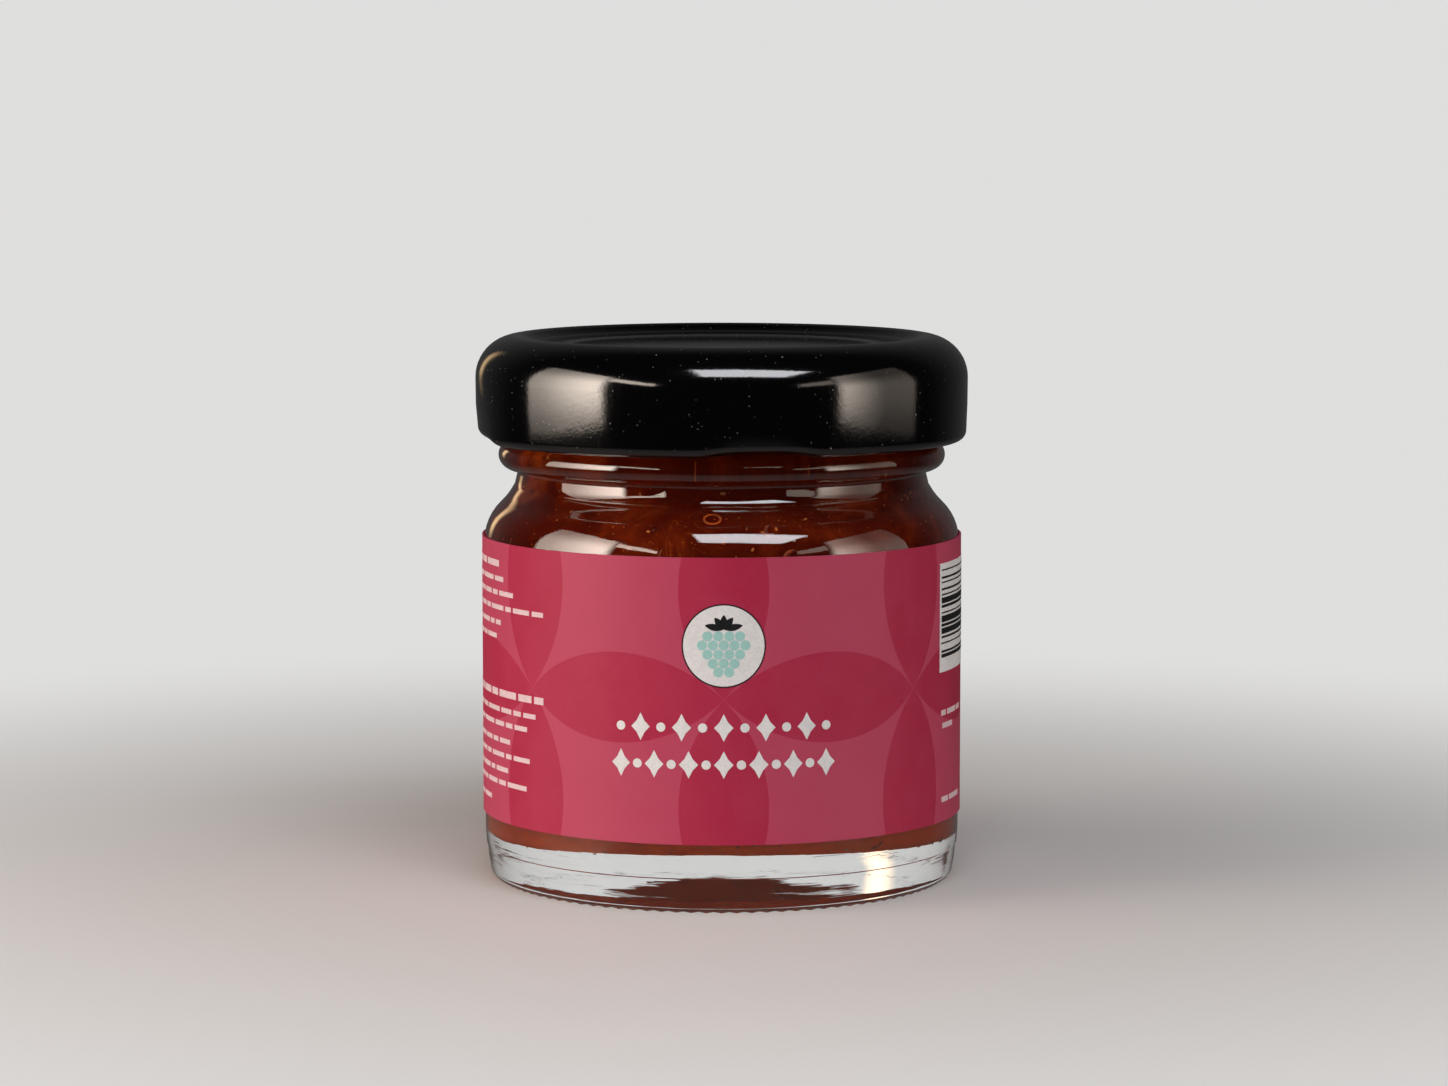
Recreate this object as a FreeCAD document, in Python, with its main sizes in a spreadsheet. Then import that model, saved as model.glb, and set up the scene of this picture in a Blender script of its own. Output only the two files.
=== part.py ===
"""A small jar of fruit dip: glass jar, dip, paper label and steel twist-off cap.

The jar stands on its foot at the origin with +Z up, in millimetres. Every piece is turned round the Z axis,
so the sketches hold half sections: across is the radius, up is the height above the table. The front of the
label faces -Y.
"""
import FreeCAD, Part
import math
import os
from types import SimpleNamespace

import Sketcher

V = FreeCAD.Vector

DIMENSIONS = {
    # glass, outside
    "bodyRadius": (22.3, "straight wall behind the label"),
    "footRadius": (20.95, "outer edge of the flat ring that it stands on"),
    "footWidth": (2.1, "width of that ring"),
    "footRound": (0.85, "round at the bottom edge"),
    "footLean": (12.8, "outward lean of the wall where that round ends, degrees"),
    "heelSweep": (19.0, "radius of the heel's curve above its ledge"),
    "heelHeight": (5.3, "where the heel runs into the straight wall"),
    "ledgeRadius": (22.2, "heel just above the parting ledge of the base mould"),
    "ledgeHeight": (3.35, "height of that ledge"),
    "heelLedge": (0.11, "depth and height of that ledge"),
    "pushUp": (1.7, "hollow under the base at its centre"),
    "pushUpRim": (0.9, "height of that hollow beside the foot"),
    "pushUpSlope": (1.2, "width of the slope from the foot into the hollow"),
    "shoulderStart": (31.75, "top of the straight wall"),
    "shoulderMidRadius": (20.75, "radius where the shoulder's curve turns over"),
    "shoulderMidHeight": (35.3, "height of that place"),
    "neckRadius": (19.42, "narrow neck under the bead"),
    "neckHeight": (37.0, "parting line where the neck starts"),
    "partingLedge": (0.08, "step of the glass at that parting line"),
    "beadRadius": (19.65, "centre of the bead's section"),
    "beadHeight": (39.85, "height of that centre"),
    "beadRound": (1.28, "radius of the bead's section"),
    # glass, finish under the cap
    "finishRadius": (19.8, "wall that carries the threads"),
    "finishBottom": (41.7, "where that wall starts above the bead"),
    "rimHeight": (49.6, "sealing edge"),
    "rimRound": (0.8, "rounds on both sides of the sealing edge"),
    "threadRadius": (21.0, "crest of the threads"),
    "threadRoot": (1.5, "height of a thread at the wall"),
    "threadCrest": (0.7, "height of a thread at its crest"),
    "threadLow": (43.85, "height of a thread's middle at its low end"),
    "threadRise": (1.5, "rise of a thread from its low to its high end"),
    "threadSweep": (62.0, "arc that one thread covers, degrees"),
    "threadSink": (0.4, "how far a thread's root is let into the wall"),
    "threadTurn": (-7.0, "turn of the glass that brings a thread's low end under a lug, degrees"),
    "starts": (4, "threads round the finish, and lugs in the cap"),
    # glass, inside
    "wall": (1.9, "glass behind the label"),
    "boreRadius": (17.4, "mouth"),
    "boreBottom": (37.4, "lower end of the straight mouth"),
    "innerMidHeight": (34.5, "where the inner shoulder's curve turns over"),
    "innerShoulder": (31.6, "where the inner shoulder meets the straight inner wall"),
    "innerCorner": (3.8, "round between the inner wall and the floor"),
    "floorHeight": (4.95, "floor at its edge"),
    "floorDome": (5.7, "floor at the centre"),
    # contents
    "fillHeight": (46.3, "level of the dip"),
    # label
    "labelBottom": (6.46, "lower edge of the paper"),
    "labelHeight": (25.95, "width of the paper band"),
    "labelThickness": (0.2, "paper and glue"),
    "labelGap": (4.0, "bare glass between its ends, at the back"),
    # cap
    "capRadius": (23.05, "outside of the skirt"),
    "capTop": (51.0, "crest of the cap's edge"),
    "capSheet": (0.25, "lacquered steel"),
    "capCorner": (3.9, "round from the skirt to the crest"),
    "crestRound": (1.3, "round from the crest into the recess"),
    "crestLean": (40.0, "steepest slope of the recess's wall, degrees"),
    "recessRadius": (17.6, "foot of the recess's wall"),
    "recessDepth": (0.75, "drop from the crest to that foot"),
    "stepRadius": (15.0, "outer edge of the step round the centre panel"),
    "stepDepth": (0.88, "drop from the crest to that edge"),
    "panelRadius": (14.4, "flat centre panel"),
    "panelDepth": (1.0, "drop from the crest to the centre panel"),
    "curlRound": (0.95, "radius of the rolled lower edge"),
    "capBottom": (41.2, "lowest point of the rolled edge"),
    "curlEnd": (65.0, "where the roll stops short of the skirt, degrees above level"),
    "linerInner": (17.55, "inner edge of the sealing compound"),
    "linerLean": (15.0, "where the compound ends on the cap's corner, degrees from upright"),
    "lugInner": (20.25, "innermost reach of a lug"),
    "lugTop": (43.35, "top of a lug"),
    "lugBottom": (41.75, "underside of a lug"),
    "lugSweep": (24.0, "arc that one lug covers, degrees"),
    "lugTurn": (9.0, "turn of the cap that brings a lug beside the middle of the front, degrees"),
}


class Size:
    """A length with its value and the expression on the sheet that gives it."""

    def __init__(self, value, text):
        self.value = value
        self.text = text

    def __add__(self, other):
        return Size(self.value + other.value, f"{self.text} + {other.text}")

    def __sub__(self, other):
        return Size(self.value - other.value, f"{self.text} - ({other.text})")

    def __mul__(self, factor):
        return Size(self.value * factor, f"({self.text}) * {factor:.8f}")


ZERO = Size(0.0, "0")


def sized_sheet(doc):
    """Write the driving dimensions to the sheet and return them by name."""
    sheet = doc.addObject("Spreadsheet::Sheet", "Sizes")
    names = SimpleNamespace()
    for row, (alias, (value, note)) in enumerate(DIMENSIONS.items(), start=1):
        sheet.set(f"A{row}", note)
        sheet.set(f"B{row}", str(value))
        sheet.setAlias(f"B{row}", alias)
        setattr(names, alias, Size(value, f"Sizes.{alias}"))
    doc.recompute()
    return names


def sine(size):
    return math.sin(math.radians(size.value))


def cosine(size):
    return math.cos(math.radians(size.value))


def around(across, up, radius, degrees):
    """The point of a circle at an angle measured from level, outwards."""
    turn = math.radians(degrees)
    return (across + radius * math.cos(turn), up + radius * math.sin(turn))


# ---------------------------------------------------------------- sketches

LINE = "line"
SMOOTH = "smooth"


def bent(radius, side):
    """An arc of a given radius, whose centre lies on the left or the right of the way along it."""
    return (radius, 1 if side == "left" else -1)


def arc_centre(start, end, heading, bend):
    """Centre of the arc between two points, and whether it turns to the left."""
    chord = end - start
    if bend == SMOOTH:
        normal = V(-heading.y, heading.x, 0)
        reach = chord.dot(chord) / (2 * chord.dot(normal))
        return start + normal * reach, reach > 0
    radius, side = bend
    normal = V(-chord.y, chord.x, 0).normalize()
    rise = math.sqrt(max(radius.value ** 2 - chord.Length ** 2 / 4, 0))
    return (start + end) * 0.5 + normal * rise * side, side > 0


def edge_geometry(start, end, heading, bend):
    """The sketch geometry from start to end, which of its ends is the start, and the heading at the end."""
    if bend == LINE:
        return Part.LineSegment(start, end), 1, (end - start).normalize()
    centre, leftwards = arc_centre(start, end, heading, bend)
    circle = Part.Circle(centre, V(0, 0, 1), (start - centre).Length)
    angles = [math.atan2(p.y - centre.y, p.x - centre.x) for p in (start, end)]
    spoke = (end - centre).normalize()
    if leftwards:
        return Part.ArcOfCircle(circle, angles[0], angles[1]), 1, V(-spoke.y, spoke.x, 0)
    return Part.ArcOfCircle(circle, angles[1], angles[0]), 2, V(spoke.y, -spoke.x, 0)


def half_section(body, name, outline):
    """A closed sketch on the body's XZ plane. Each row of the outline is a corner's radius and height and the
    kind of edge that leaves that corner. Every corner is tied to the sheet of sizes."""
    sketch = body.newObject("Sketcher::SketchObject", name)
    plane = [part for part in body.Origin.OriginFeatures if part.Role == "XZ_Plane"][0]
    sketch.AttachmentSupport = (plane, "")
    sketch.MapMode = "FlatFace"

    corners = [V(across.value, up.value, 0) for across, up, bend in outline]
    count = len(outline)
    firsts = []
    heading = V(1, 0, 0)
    for index, (across, up, bend) in enumerate(outline):
        shape, first, heading = edge_geometry(corners[index], corners[(index + 1) % count], heading, bend)
        sketch.addGeometry(shape, False)
        firsts.append(first)

    ties = []
    for index, (across, up, bend) in enumerate(outline):
        before = (index - 1) % count
        kind = "Tangent" if bend == SMOOTH else "Coincident"
        ties.append(Sketcher.Constraint(kind, before, 3 - firsts[before], index, firsts[index]))
    sketch.addConstraint(ties)

    for index, (across, up, bend) in enumerate(outline):
        for axis, kind, size in ((-2, "DistanceX", across), (-1, "DistanceY", up)):
            if size.text == "0":
                sketch.addConstraint(Sketcher.Constraint("PointOnObject", index, firsts[index], axis))
            else:
                tie = sketch.addConstraint(Sketcher.Constraint(kind, index, firsts[index], size.value))
                sketch.setExpression(f"Constraints[{tie}]", size.text)
        if bend not in (LINE, SMOOTH):
            tie = sketch.addConstraint(Sketcher.Constraint("Radius", index, bend[0].value))
            sketch.setExpression(f"Constraints[{tie}]", bend[0].text)
    return sketch


def turned(body, name, sketch, arc="360", axis="V_Axis"):
    """Turn a sketch round an axis of its own, over an arc that is centred on the sketch's plane."""
    feature = body.newObject("PartDesign::Revolution", name)
    feature.Profile = sketch
    feature.ReferenceAxis = (sketch, [axis])
    feature.Midplane = arc != "360"
    feature.setExpression("Angle", arc)
    return feature


def repeated(body, name, features, sketch, count):
    """Repeat features evenly round the Z axis."""
    pattern = body.newObject("PartDesign::PolarPattern", name)
    pattern.Originals = features
    pattern.Axis = (sketch, ["V_Axis"])
    pattern.Angle = 360
    pattern.setExpression("Occurrences", count.text)
    body.Tip = pattern
    return pattern


def new_body(doc, name, turn=0.0):
    """An empty body, turned round the Z axis by so many degrees."""
    body = doc.addObject("PartDesign::Body", name)
    body.Label = name
    body.Placement = FreeCAD.Placement(V(0, 0, 0), FreeCAD.Rotation(V(0, 0, 1), turn))
    return body


# ---------------------------------------------------------------- pieces

def inner_wall(s):
    """The inside of the glass from the mouth down to the middle of the floor."""
    inner = s.bodyRadius - s.wall
    middle = (s.boreRadius + inner) * 0.5
    return [
        (s.boreRadius, s.boreBottom, SMOOTH),
        (middle, s.innerMidHeight, SMOOTH),
        (inner, s.innerShoulder, LINE),
        (inner, s.floorHeight + s.innerCorner, SMOOTH),
        (inner - s.innerCorner, s.floorHeight, LINE),
        (ZERO, s.floorDome, LINE),
    ]


def glass_jar(doc, s):
    """Pressed glass: hollow foot, heel, straight wall, shoulder, neck with bead, and twist-off finish."""
    body = new_body(doc, "glass_jar", turn=-90.0 + s.threadTurn.value)
    foot_inner = s.footRadius - s.footWidth
    heel = around(s.footRadius, s.footRound, s.footRound, -s.footLean.value)
    bead_low = around(s.beadRadius, s.beadHeight, s.beadRound, -76)
    bead_high = around(s.beadRadius, s.beadHeight, s.beadRound, 58)
    outline = [
        (ZERO, s.pushUp, LINE),
        (foot_inner - s.pushUpSlope, s.pushUpRim, LINE),
        (foot_inner, ZERO, LINE),
        (s.footRadius, ZERO, bent(s.footRound, "left")),
        (*heel, SMOOTH),
        (s.ledgeRadius - s.heelLedge, s.ledgeHeight - s.heelLedge, LINE),
        (s.ledgeRadius, s.ledgeHeight, bent(s.heelSweep, "left")),
        (s.bodyRadius, s.heelHeight, LINE),
        (s.bodyRadius, s.shoulderStart, SMOOTH),
        (s.shoulderMidRadius, s.shoulderMidHeight, SMOOTH),
        (s.neckRadius + s.partingLedge, s.neckHeight - s.partingLedge, LINE),
        (s.neckRadius, s.neckHeight, LINE),
        (s.neckRadius, bead_low[1] - (bead_low[0] - s.neckRadius), SMOOTH),
        (*bead_low, bent(s.beadRound, "left")),
        (*bead_high, LINE),
        (s.finishRadius, s.finishBottom, LINE),
        (s.finishRadius, s.rimHeight - s.rimRound, SMOOTH),
        (s.finishRadius - s.rimRound, s.rimHeight, LINE),
        (s.boreRadius + s.rimRound, s.rimHeight, SMOOTH),
        (s.boreRadius, s.rimHeight - s.rimRound, LINE),
        *inner_wall(s),
    ]
    wall = half_section(body, "WallSection", outline)
    turned(body, "Wall", wall)

    middle = s.threadLow
    root = s.finishRadius - s.threadSink
    thread = half_section(body, "ThreadSection", [
        (root, middle - s.threadRoot * 0.5, LINE),
        (s.threadRadius, middle - s.threadCrest * 0.5, LINE),
        (s.threadRadius, middle + s.threadCrest * 0.5, LINE),
        (root, middle + s.threadRoot * 0.5, LINE),
    ])
    ramp = body.newObject("PartDesign::AdditiveHelix", "Thread")
    ramp.Profile = thread
    ramp.ReferenceAxis = (thread, ["V_Axis"])
    ramp.Mode = "height-turns-angle"
    ramp.setExpression("Height", s.threadRise.text)
    ramp.setExpression("Turns", f"{s.threadSweep.text} / 360")
    low = thread_tip(body, s, "LowTip")
    high = thread_tip(body, s, "HighTip", s.threadRise, s.threadSweep)
    repeated(body, "Threads", [ramp, low, high], thread, s.starts)
    return body


def thread_tip(body, s, name, lift=ZERO, turn=ZERO):
    """The rounded end of a thread: its upper half turned round a spoke at the thread's middle height."""
    root = s.finishRadius - s.threadSink
    tip = half_section(body, f"{name}Section", [
        (root, s.threadLow, LINE),
        (s.threadRadius, s.threadLow, LINE),
        (s.threadRadius, s.threadLow + s.threadCrest * 0.5, LINE),
        (root, s.threadLow + s.threadRoot * 0.5, LINE),
    ])
    tip.AttachmentOffset = FreeCAD.Placement(V(0, lift.value, 0), FreeCAD.Rotation(V(0, 1, 0), turn.value))
    return turned(body, name, tip, axis="Edge1")


def fruit_dip(doc, s):
    """The dip fills the glass up to its level."""
    body = new_body(doc, "fruit_dip")
    section = half_section(body, "FillSection", [
        (ZERO, s.fillHeight, LINE),
        (s.boreRadius, s.fillHeight, LINE),
        *inner_wall(s),
    ])
    turned(body, "Fill", section)
    return body


def label(doc, s):
    """A band of paper round the straight wall, with its ends a little apart at the back."""
    body = new_body(doc, "label", turn=-90.0)
    outside = s.bodyRadius + s.labelThickness
    top = s.labelBottom + s.labelHeight
    section = half_section(body, "PaperSection", [
        (s.bodyRadius, s.labelBottom, LINE),
        (outside, s.labelBottom, LINE),
        (outside, top, LINE),
        (s.bodyRadius, top, LINE),
    ])
    turned(body, "Paper", section, arc=f"360 - {s.labelGap.text} / {s.bodyRadius.text} * 180 / pi")
    return body


def lid(doc, s):
    """Twist-off cap of lacquered steel: recessed panel, rounded edge, rolled lower edge with lugs, and the
    sealing compound that the glass rim sits in."""
    body = new_body(doc, "lid", turn=-90.0 + s.lugTurn.value)
    crest = s.capRadius - s.capCorner
    corner_height = s.capTop - s.capCorner
    inside = s.capCorner - s.capSheet
    curl = (s.capRadius - s.curlRound, s.capBottom + s.curlRound)
    roll = s.curlRound - s.capSheet
    wall_foot = s.capTop - s.recessDepth
    wall_top = (crest - s.crestRound * sine(s.crestLean), s.capTop - s.crestRound * (1 - cosine(s.crestLean)))
    liner_outer = (crest + inside * sine(s.linerLean), corner_height + inside * cosine(s.linerLean))
    under = s.capSheet
    outline = [
        (ZERO, s.capTop - s.panelDepth, LINE),
        (s.panelRadius, s.capTop - s.panelDepth, LINE),
        (s.stepRadius, s.capTop - s.stepDepth, LINE),
        (s.recessRadius, wall_foot, LINE),
        (*wall_top, bent(s.crestRound, "right")),
        (crest, s.capTop, SMOOTH),
        (s.capRadius, corner_height, LINE),
        (s.capRadius, curl[1], SMOOTH),
        (curl[0], s.capBottom, SMOOTH),
        (curl[0] - s.curlRound, curl[1], SMOOTH),
        (*around(*curl, s.curlRound, s.curlEnd.value), LINE),
        (*around(*curl, roll, s.curlEnd.value), bent(roll, "left")),
        (curl[0] - roll, curl[1], SMOOTH),
        (curl[0], s.capBottom + s.capSheet, SMOOTH),
        (s.capRadius - s.capSheet, curl[1], LINE),
        (s.capRadius - s.capSheet, corner_height, SMOOTH),
        (*liner_outer, LINE),
        (liner_outer[0], s.rimHeight, LINE),
        (s.linerInner, s.rimHeight, LINE),
        (s.linerInner, wall_foot - under, LINE),
        (s.stepRadius, s.capTop - s.stepDepth - under, LINE),
        (s.panelRadius, s.capTop - s.panelDepth - under, LINE),
        (ZERO, s.capTop - s.panelDepth - under, LINE),
    ]
    sheet = half_section(body, "SheetSection", outline)
    turned(body, "Sheet", sheet)

    lug = half_section(body, "LugSection", [
        (s.lugInner, s.lugTop - s.capSheet, LINE),
        (s.lugInner, s.lugBottom + s.capSheet * 2, LINE),
        (s.lugInner + s.capSheet * 2, s.lugBottom, LINE),
        (curl[0] - roll, s.lugBottom, LINE),
        (curl[0] - roll, s.lugTop, LINE),
        (s.lugInner + s.capSheet, s.lugTop, LINE),
    ])
    pad = turned(body, "Lug", lug, arc=s.lugSweep.text)
    repeated(body, "Lugs", [pad], lug, s.starts)
    return body


# ---------------------------------------------------------------- document

def check(doc, bodies):
    """Stop if any object failed or any piece isn't one sound solid."""
    for item in doc.Objects:
        if "Invalid" in item.State or "Error" in item.State:
            raise RuntimeError(f"{item.Label} failed: {item.State}")
    for body in bodies:
        shape = body.Shape
        if shape.isNull() or not shape.isValid() or len(shape.Solids) != 1:
            raise RuntimeError(f"{body.Label} isn't one sound solid")


def main():
    doc = FreeCAD.newDocument("FruitDipJar")
    sizes = sized_sheet(doc)
    bodies = [make(doc, sizes) for make in (glass_jar, fruit_dip, label, lid)]
    doc.recompute()
    check(doc, bodies)
    os.makedirs("parts", exist_ok=True)
    for body in bodies:
        body.Shape.exportStep(f"parts/{body.Label}.step")
        print(f"{body.Label}: {body.Shape.Volume:.0f} mm3")


main()
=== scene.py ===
"""A small jar of fruit dip, dressed on its CAD frame.

The file is laid out as an add-on: a user picks sizes and colours in the sidebar, and each button makes
one piece. Lengths are in metres in the frame of the part: +Z up, the foot on z = 0, the front of the
label towards -Y.
"""
import math

import bmesh
import bpy
from bpy.props import FloatProperty, FloatVectorProperty, IntProperty, PointerProperty
from mathutils import Matrix, Vector, noise


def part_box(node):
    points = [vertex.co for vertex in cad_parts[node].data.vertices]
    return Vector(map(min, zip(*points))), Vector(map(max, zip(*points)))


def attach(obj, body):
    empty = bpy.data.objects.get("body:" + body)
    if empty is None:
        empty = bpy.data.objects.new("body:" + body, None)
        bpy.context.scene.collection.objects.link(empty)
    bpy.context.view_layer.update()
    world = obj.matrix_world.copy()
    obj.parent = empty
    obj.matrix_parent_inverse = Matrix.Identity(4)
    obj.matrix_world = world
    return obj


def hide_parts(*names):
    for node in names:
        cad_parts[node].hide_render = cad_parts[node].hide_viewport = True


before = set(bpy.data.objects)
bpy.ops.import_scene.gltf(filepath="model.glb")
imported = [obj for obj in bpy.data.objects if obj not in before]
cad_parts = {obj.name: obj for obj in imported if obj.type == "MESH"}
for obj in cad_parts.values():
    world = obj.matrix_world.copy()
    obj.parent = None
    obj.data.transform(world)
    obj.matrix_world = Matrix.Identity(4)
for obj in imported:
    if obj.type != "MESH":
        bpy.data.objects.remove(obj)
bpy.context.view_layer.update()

bl_info = {
    "name": "Jar of fruit dip",
    "version": (1, 0, 0),
    "blender": (4, 5, 0),
    "location": "3D View > Sidebar > Jar",
    "description": "Makes a small glass jar of fruit dip with its paper label and twist-off cap",
    "category": "Add Mesh",
}

MM = 0.001
GLASS_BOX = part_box("glass_jar")
DIP_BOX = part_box("fruit_dip")
LABEL_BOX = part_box("label")
CAP_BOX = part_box("lid")

BODY_RADIUS = GLASS_BOX[1][0]
RIM_HEIGHT = GLASS_BOX[1][2]
INNER_RADIUS = DIP_BOX[1][0]
FLOOR_HEIGHT = DIP_BOX[0][2]
FILL_HEIGHT = DIP_BOX[1][2]
LABEL_RADIUS = LABEL_BOX[1][0]
LABEL_BOTTOM = LABEL_BOX[0][2]
LABEL_TOP = LABEL_BOX[1][2]
CAP_RADIUS = CAP_BOX[1][0]
CAP_BOTTOM = CAP_BOX[0][2]
CAP_TOP = CAP_BOX[1][2]


# ---------------------------------------------------------------- settings

def length(name, default, description):
    """A size that the user sets."""
    return FloatProperty(name=name, default=default, description=description, unit="LENGTH", precision=5)


def colour(name, default, description):
    """A colour that the user sets."""
    return FloatVectorProperty(name=name, default=default, description=description, subtype="COLOR",
                               min=0, max=1)


def count(name, default, description):
    """A number of like things that the user sets."""
    return IntProperty(name=name, default=default, description=description, min=0)


class GlassSettings(bpy.types.PropertyGroup):
    ripple: length("Ripple", 0.035 * MM, "How far the pressed surface wanders from true")
    ripple_length: length("Ripple length", 7 * MM, "Distance over which it wanders")
    knurls: count("Knurls", 96, "Ridges round the foot")
    knurl_height: length("Knurl height", 0.12 * MM, "Height of those ridges")
    tint: colour("Tint", (0.97, 0.985, 0.975), "Colour of light that passes the glass")


class DipSettings(bpy.types.PropertyGroup):
    deep: colour("Deep", (0.052, 0.0036, 0.0008), "Colour of the thick jelly")
    bright: colour("Bright", (0.135, 0.014, 0.0020), "Colour of the jelly's lighter clouds")
    # Low is painted light: a bright orange for the glow of light shining through the thin jelly over the
    # floor.
    low: colour("Low", (0.62, 0.075, 0.008), "Colour of the thin jelly over the floor of the glass")
    amber: colour("Amber", (0.36, 0.062, 0.008), "Colour of pale threads and flecks")
    reach: length("Reach into the wall", 0.08 * MM,
                  "How far the dip goes into the glass, so that no air shows")
    seeds: count("Seeds", 1300, "Seeds at the glass")
    seed_colour: colour("Seeds", (0.45, 0.105, 0.015), "Colour of the seeds")
    bits: count("Fruit bits", 190, "Shreds of fruit at the glass")
    bit_colour: colour("Fruit bits", (0.20, 0.024, 0.004), "Colour of the shreds")
    bubbles: count("Bubbles", 260, "Air bubbles at the glass")
    # Width of the ring of painted light drawn for the large bubble.
    big_bubble: length("Large bubble", 1.45 * MM, "Width of the large bubble at the front")


class LabelSettings(bpy.types.PropertyGroup):
    ground: colour("Ground", (0.468, 0.052, 0.108), "Lighter paper between the petals")
    petal: colour("Petal", (0.404, 0.0165, 0.058), "Darker petals of the circle pattern")
    ink: colour("White ink", (0.80, 0.79, 0.79), "Light printing")
    pale_ink: colour("Pale ink", (0.78, 0.58, 0.62), "Printing of the fine rows at the sides")
    dark_ink: colour("Dark ink", (0.012, 0.012, 0.014), "Dark printing")
    mint: colour("Mint ink", (0.36, 0.64, 0.60), "Green of the badge")
    pitch: length("Pitch", 19.87 * MM, "Distance between the circles of the pattern")
    circle: length("Circle", 14.05 * MM, "Radius of the circles")
    pattern_height: length("Pattern height", 19.61 * MM, "Height of the petals' meeting point at the front")
    gap: length("End gap", 4.0 * MM, "Bare glass between the label's ends at the back")


class CapSettings(bpy.types.PropertyGroup):
    lacquer: colour("Lacquer", (0.0009, 0.0008, 0.0012), "Colour of the lacquered steel")
    lug_lift: length("Lug lift", 0.38 * MM, "How far the rolled edge rises where a lug is folded in")
    dust: FloatProperty(name="Dust", default=0.5, min=0, max=1, subtype="FACTOR",
                        description="Share of the dust specks that show")


class StageSettings(bpy.types.PropertyGroup):
    floor: colour("Floor", (0.74, 0.73, 0.72), "Colour of the floor")
    backdrop: colour("Backdrop", (0.74, 0.735, 0.73), "Colour of the background")
    lens: FloatProperty(name="Lens", default=112.8, description="Focal length", unit="CAMERA")
    distance: length("Camera distance", 424.4 * MM, "From the jar's middle to the camera, along the floor")
    height: length("Camera height", 76.6 * MM, "Height of the camera above the floor")
    pitch: FloatProperty(name="Pitch", default=math.radians(6.0845), subtype="ANGLE",
                         description="How far the camera looks down")


# ---------------------------------------------------------------- outlines and meshes

LINE = "line"
SMOOTH = "smooth"
ON_AXIS = 0.001 * MM
SHARP_EDGE = 35.0


def bent(radius, side):
    """An arc of a given radius, whose centre lies on the left or the right of the way along it."""
    return (radius, 1 if side == "left" else -1)


def around(across, up, radius, degrees):
    """The point of a circle at an angle measured from level, outwards."""
    turn = math.radians(degrees)
    return (across + radius * math.cos(turn), up + radius * math.sin(turn))


def spun(radius, bearing, height):
    """The place at a distance from the jar's axis, a bearing from the front and a height."""
    return (radius * math.sin(bearing), -radius * math.cos(bearing), height)


def traced(corners, line_step, turn_step):
    """Points along an outline. Each corner is a radius, a height and the kind of edge that leaves it."""
    points = []
    heading = Vector((1, 0))
    for (across, up, bend), (next_across, next_up, _) in zip(corners, corners[1:]):
        start, end = Vector((across, up)), Vector((next_across, next_up))
        chord = end - start
        if bend == LINE:
            steps = max(1, math.ceil(chord.length / line_step))
            points += [start.lerp(end, step / steps) for step in range(steps)]
            heading = chord.normalized()
            continue
        if bend == SMOOTH:
            normal = Vector((-heading.y, heading.x))
            reach = chord.dot(chord) / (2 * chord.dot(normal))
            centre = start + normal * reach
            side = 1 if reach > 0 else -1
        else:
            radius, side = bend
            normal = Vector((-chord.y, chord.x)).normalized()
            reach = math.sqrt(max(radius ** 2 - chord.length ** 2 / 4, 0))
            centre = (start + end) / 2 + normal * side * reach
        spoke, last = start - centre, end - centre
        turn = math.atan2(spoke.cross(last), spoke.dot(last))
        if turn * side < 0:
            turn += side * math.tau
        steps = max(2, math.ceil(abs(turn) / turn_step))
        points += [centre + Matrix.Rotation(turn * step / steps, 2) @ spoke for step in range(steps)]
        heading = Vector((-last.y, last.x)).normalized() * side
    points.append(Vector(corners[-1][:2]))
    return points


def skinned(bm, rings):
    """Close the surface between rings of vertices, in their order. A ring may be a single vertex."""
    for low, high in zip(rings, rings[1:]):
        for side in range(max(len(low), len(high))):
            corners = (low[side % len(low)], low[(side + 1) % len(low)],
                       high[(side + 1) % len(high)], high[side % len(high)])
            bm.faces.new(list(dict.fromkeys(corners)))


def turned(bm, points, sides, shift):
    """Turn an outline that starts and ends on the axis. shift moves each point by its bearing."""
    rings = []
    for point in points:
        if point.x < ON_AXIS:
            rings.append([bm.verts.new((0, 0, point.y))])
            continue
        ring = []
        for side in range(sides):
            bearing = math.tau * side / sides
            radius, height = shift(bearing, point.x, point.y)
            ring.append(bm.verts.new(spun(radius, bearing, height)))
        rings.append(ring)
    skinned(bm, rings)


def swept(bm, section, start, sweep, rise, steps, fade):
    """Sweep a closed section of radius and height points round the axis and up, with its ends shut.
    Over so many steps at each end it rounds off towards the radius of its first point."""
    rings = []
    root = section[0][0]
    for step in range(steps + 1):
        bearing = start + sweep * step / steps
        lift = rise * step / steps
        near = min(1.0, (min(step, steps - step) + 0.1) / fade)
        proud = math.sqrt(near * (2 - near))
        rings.append([bm.verts.new(spun(root + (across - root) * proud, bearing, up + lift))
                      for across, up in section])
    skinned(bm, rings)
    bm.faces.new(rings[0])
    bm.faces.new(reversed(rings[-1]))


def meshed(name, bm):
    """A mesh of what has been drawn."""
    mesh = bpy.data.meshes.new(name)
    bm.to_mesh(mesh)
    bm.free()
    return mesh


def stood(name, data):
    """A new object in the scene."""
    thing = bpy.data.objects.new(name, data)
    bpy.context.collection.objects.link(thing)
    return thing


def smoothed(piece, sharp):
    """Shade a piece smooth but for edges sharper than so many degrees."""
    piece.data.shade_smooth()
    piece.data.set_sharp_from_angle(angle=math.radians(sharp))


def finished(name, bm, sharp=SHARP_EDGE):
    """Make an object of a closed mesh, with its faces outwards and smooth."""
    bmesh.ops.recalc_face_normals(bm, faces=bm.faces)
    piece = stood(name, meshed(name, bm))
    smoothed(piece, sharp)
    return piece


def plain_mesh(piece, modifier):
    """Replace a piece's mesh with what its modifier makes, and take the modifier off."""
    depsgraph = bpy.context.evaluated_depsgraph_get()
    mesh = bpy.data.meshes.new_from_object(piece.evaluated_get(depsgraph))
    mesh.name = piece.name
    piece.modifiers.remove(modifier)
    piece.data = mesh


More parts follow.
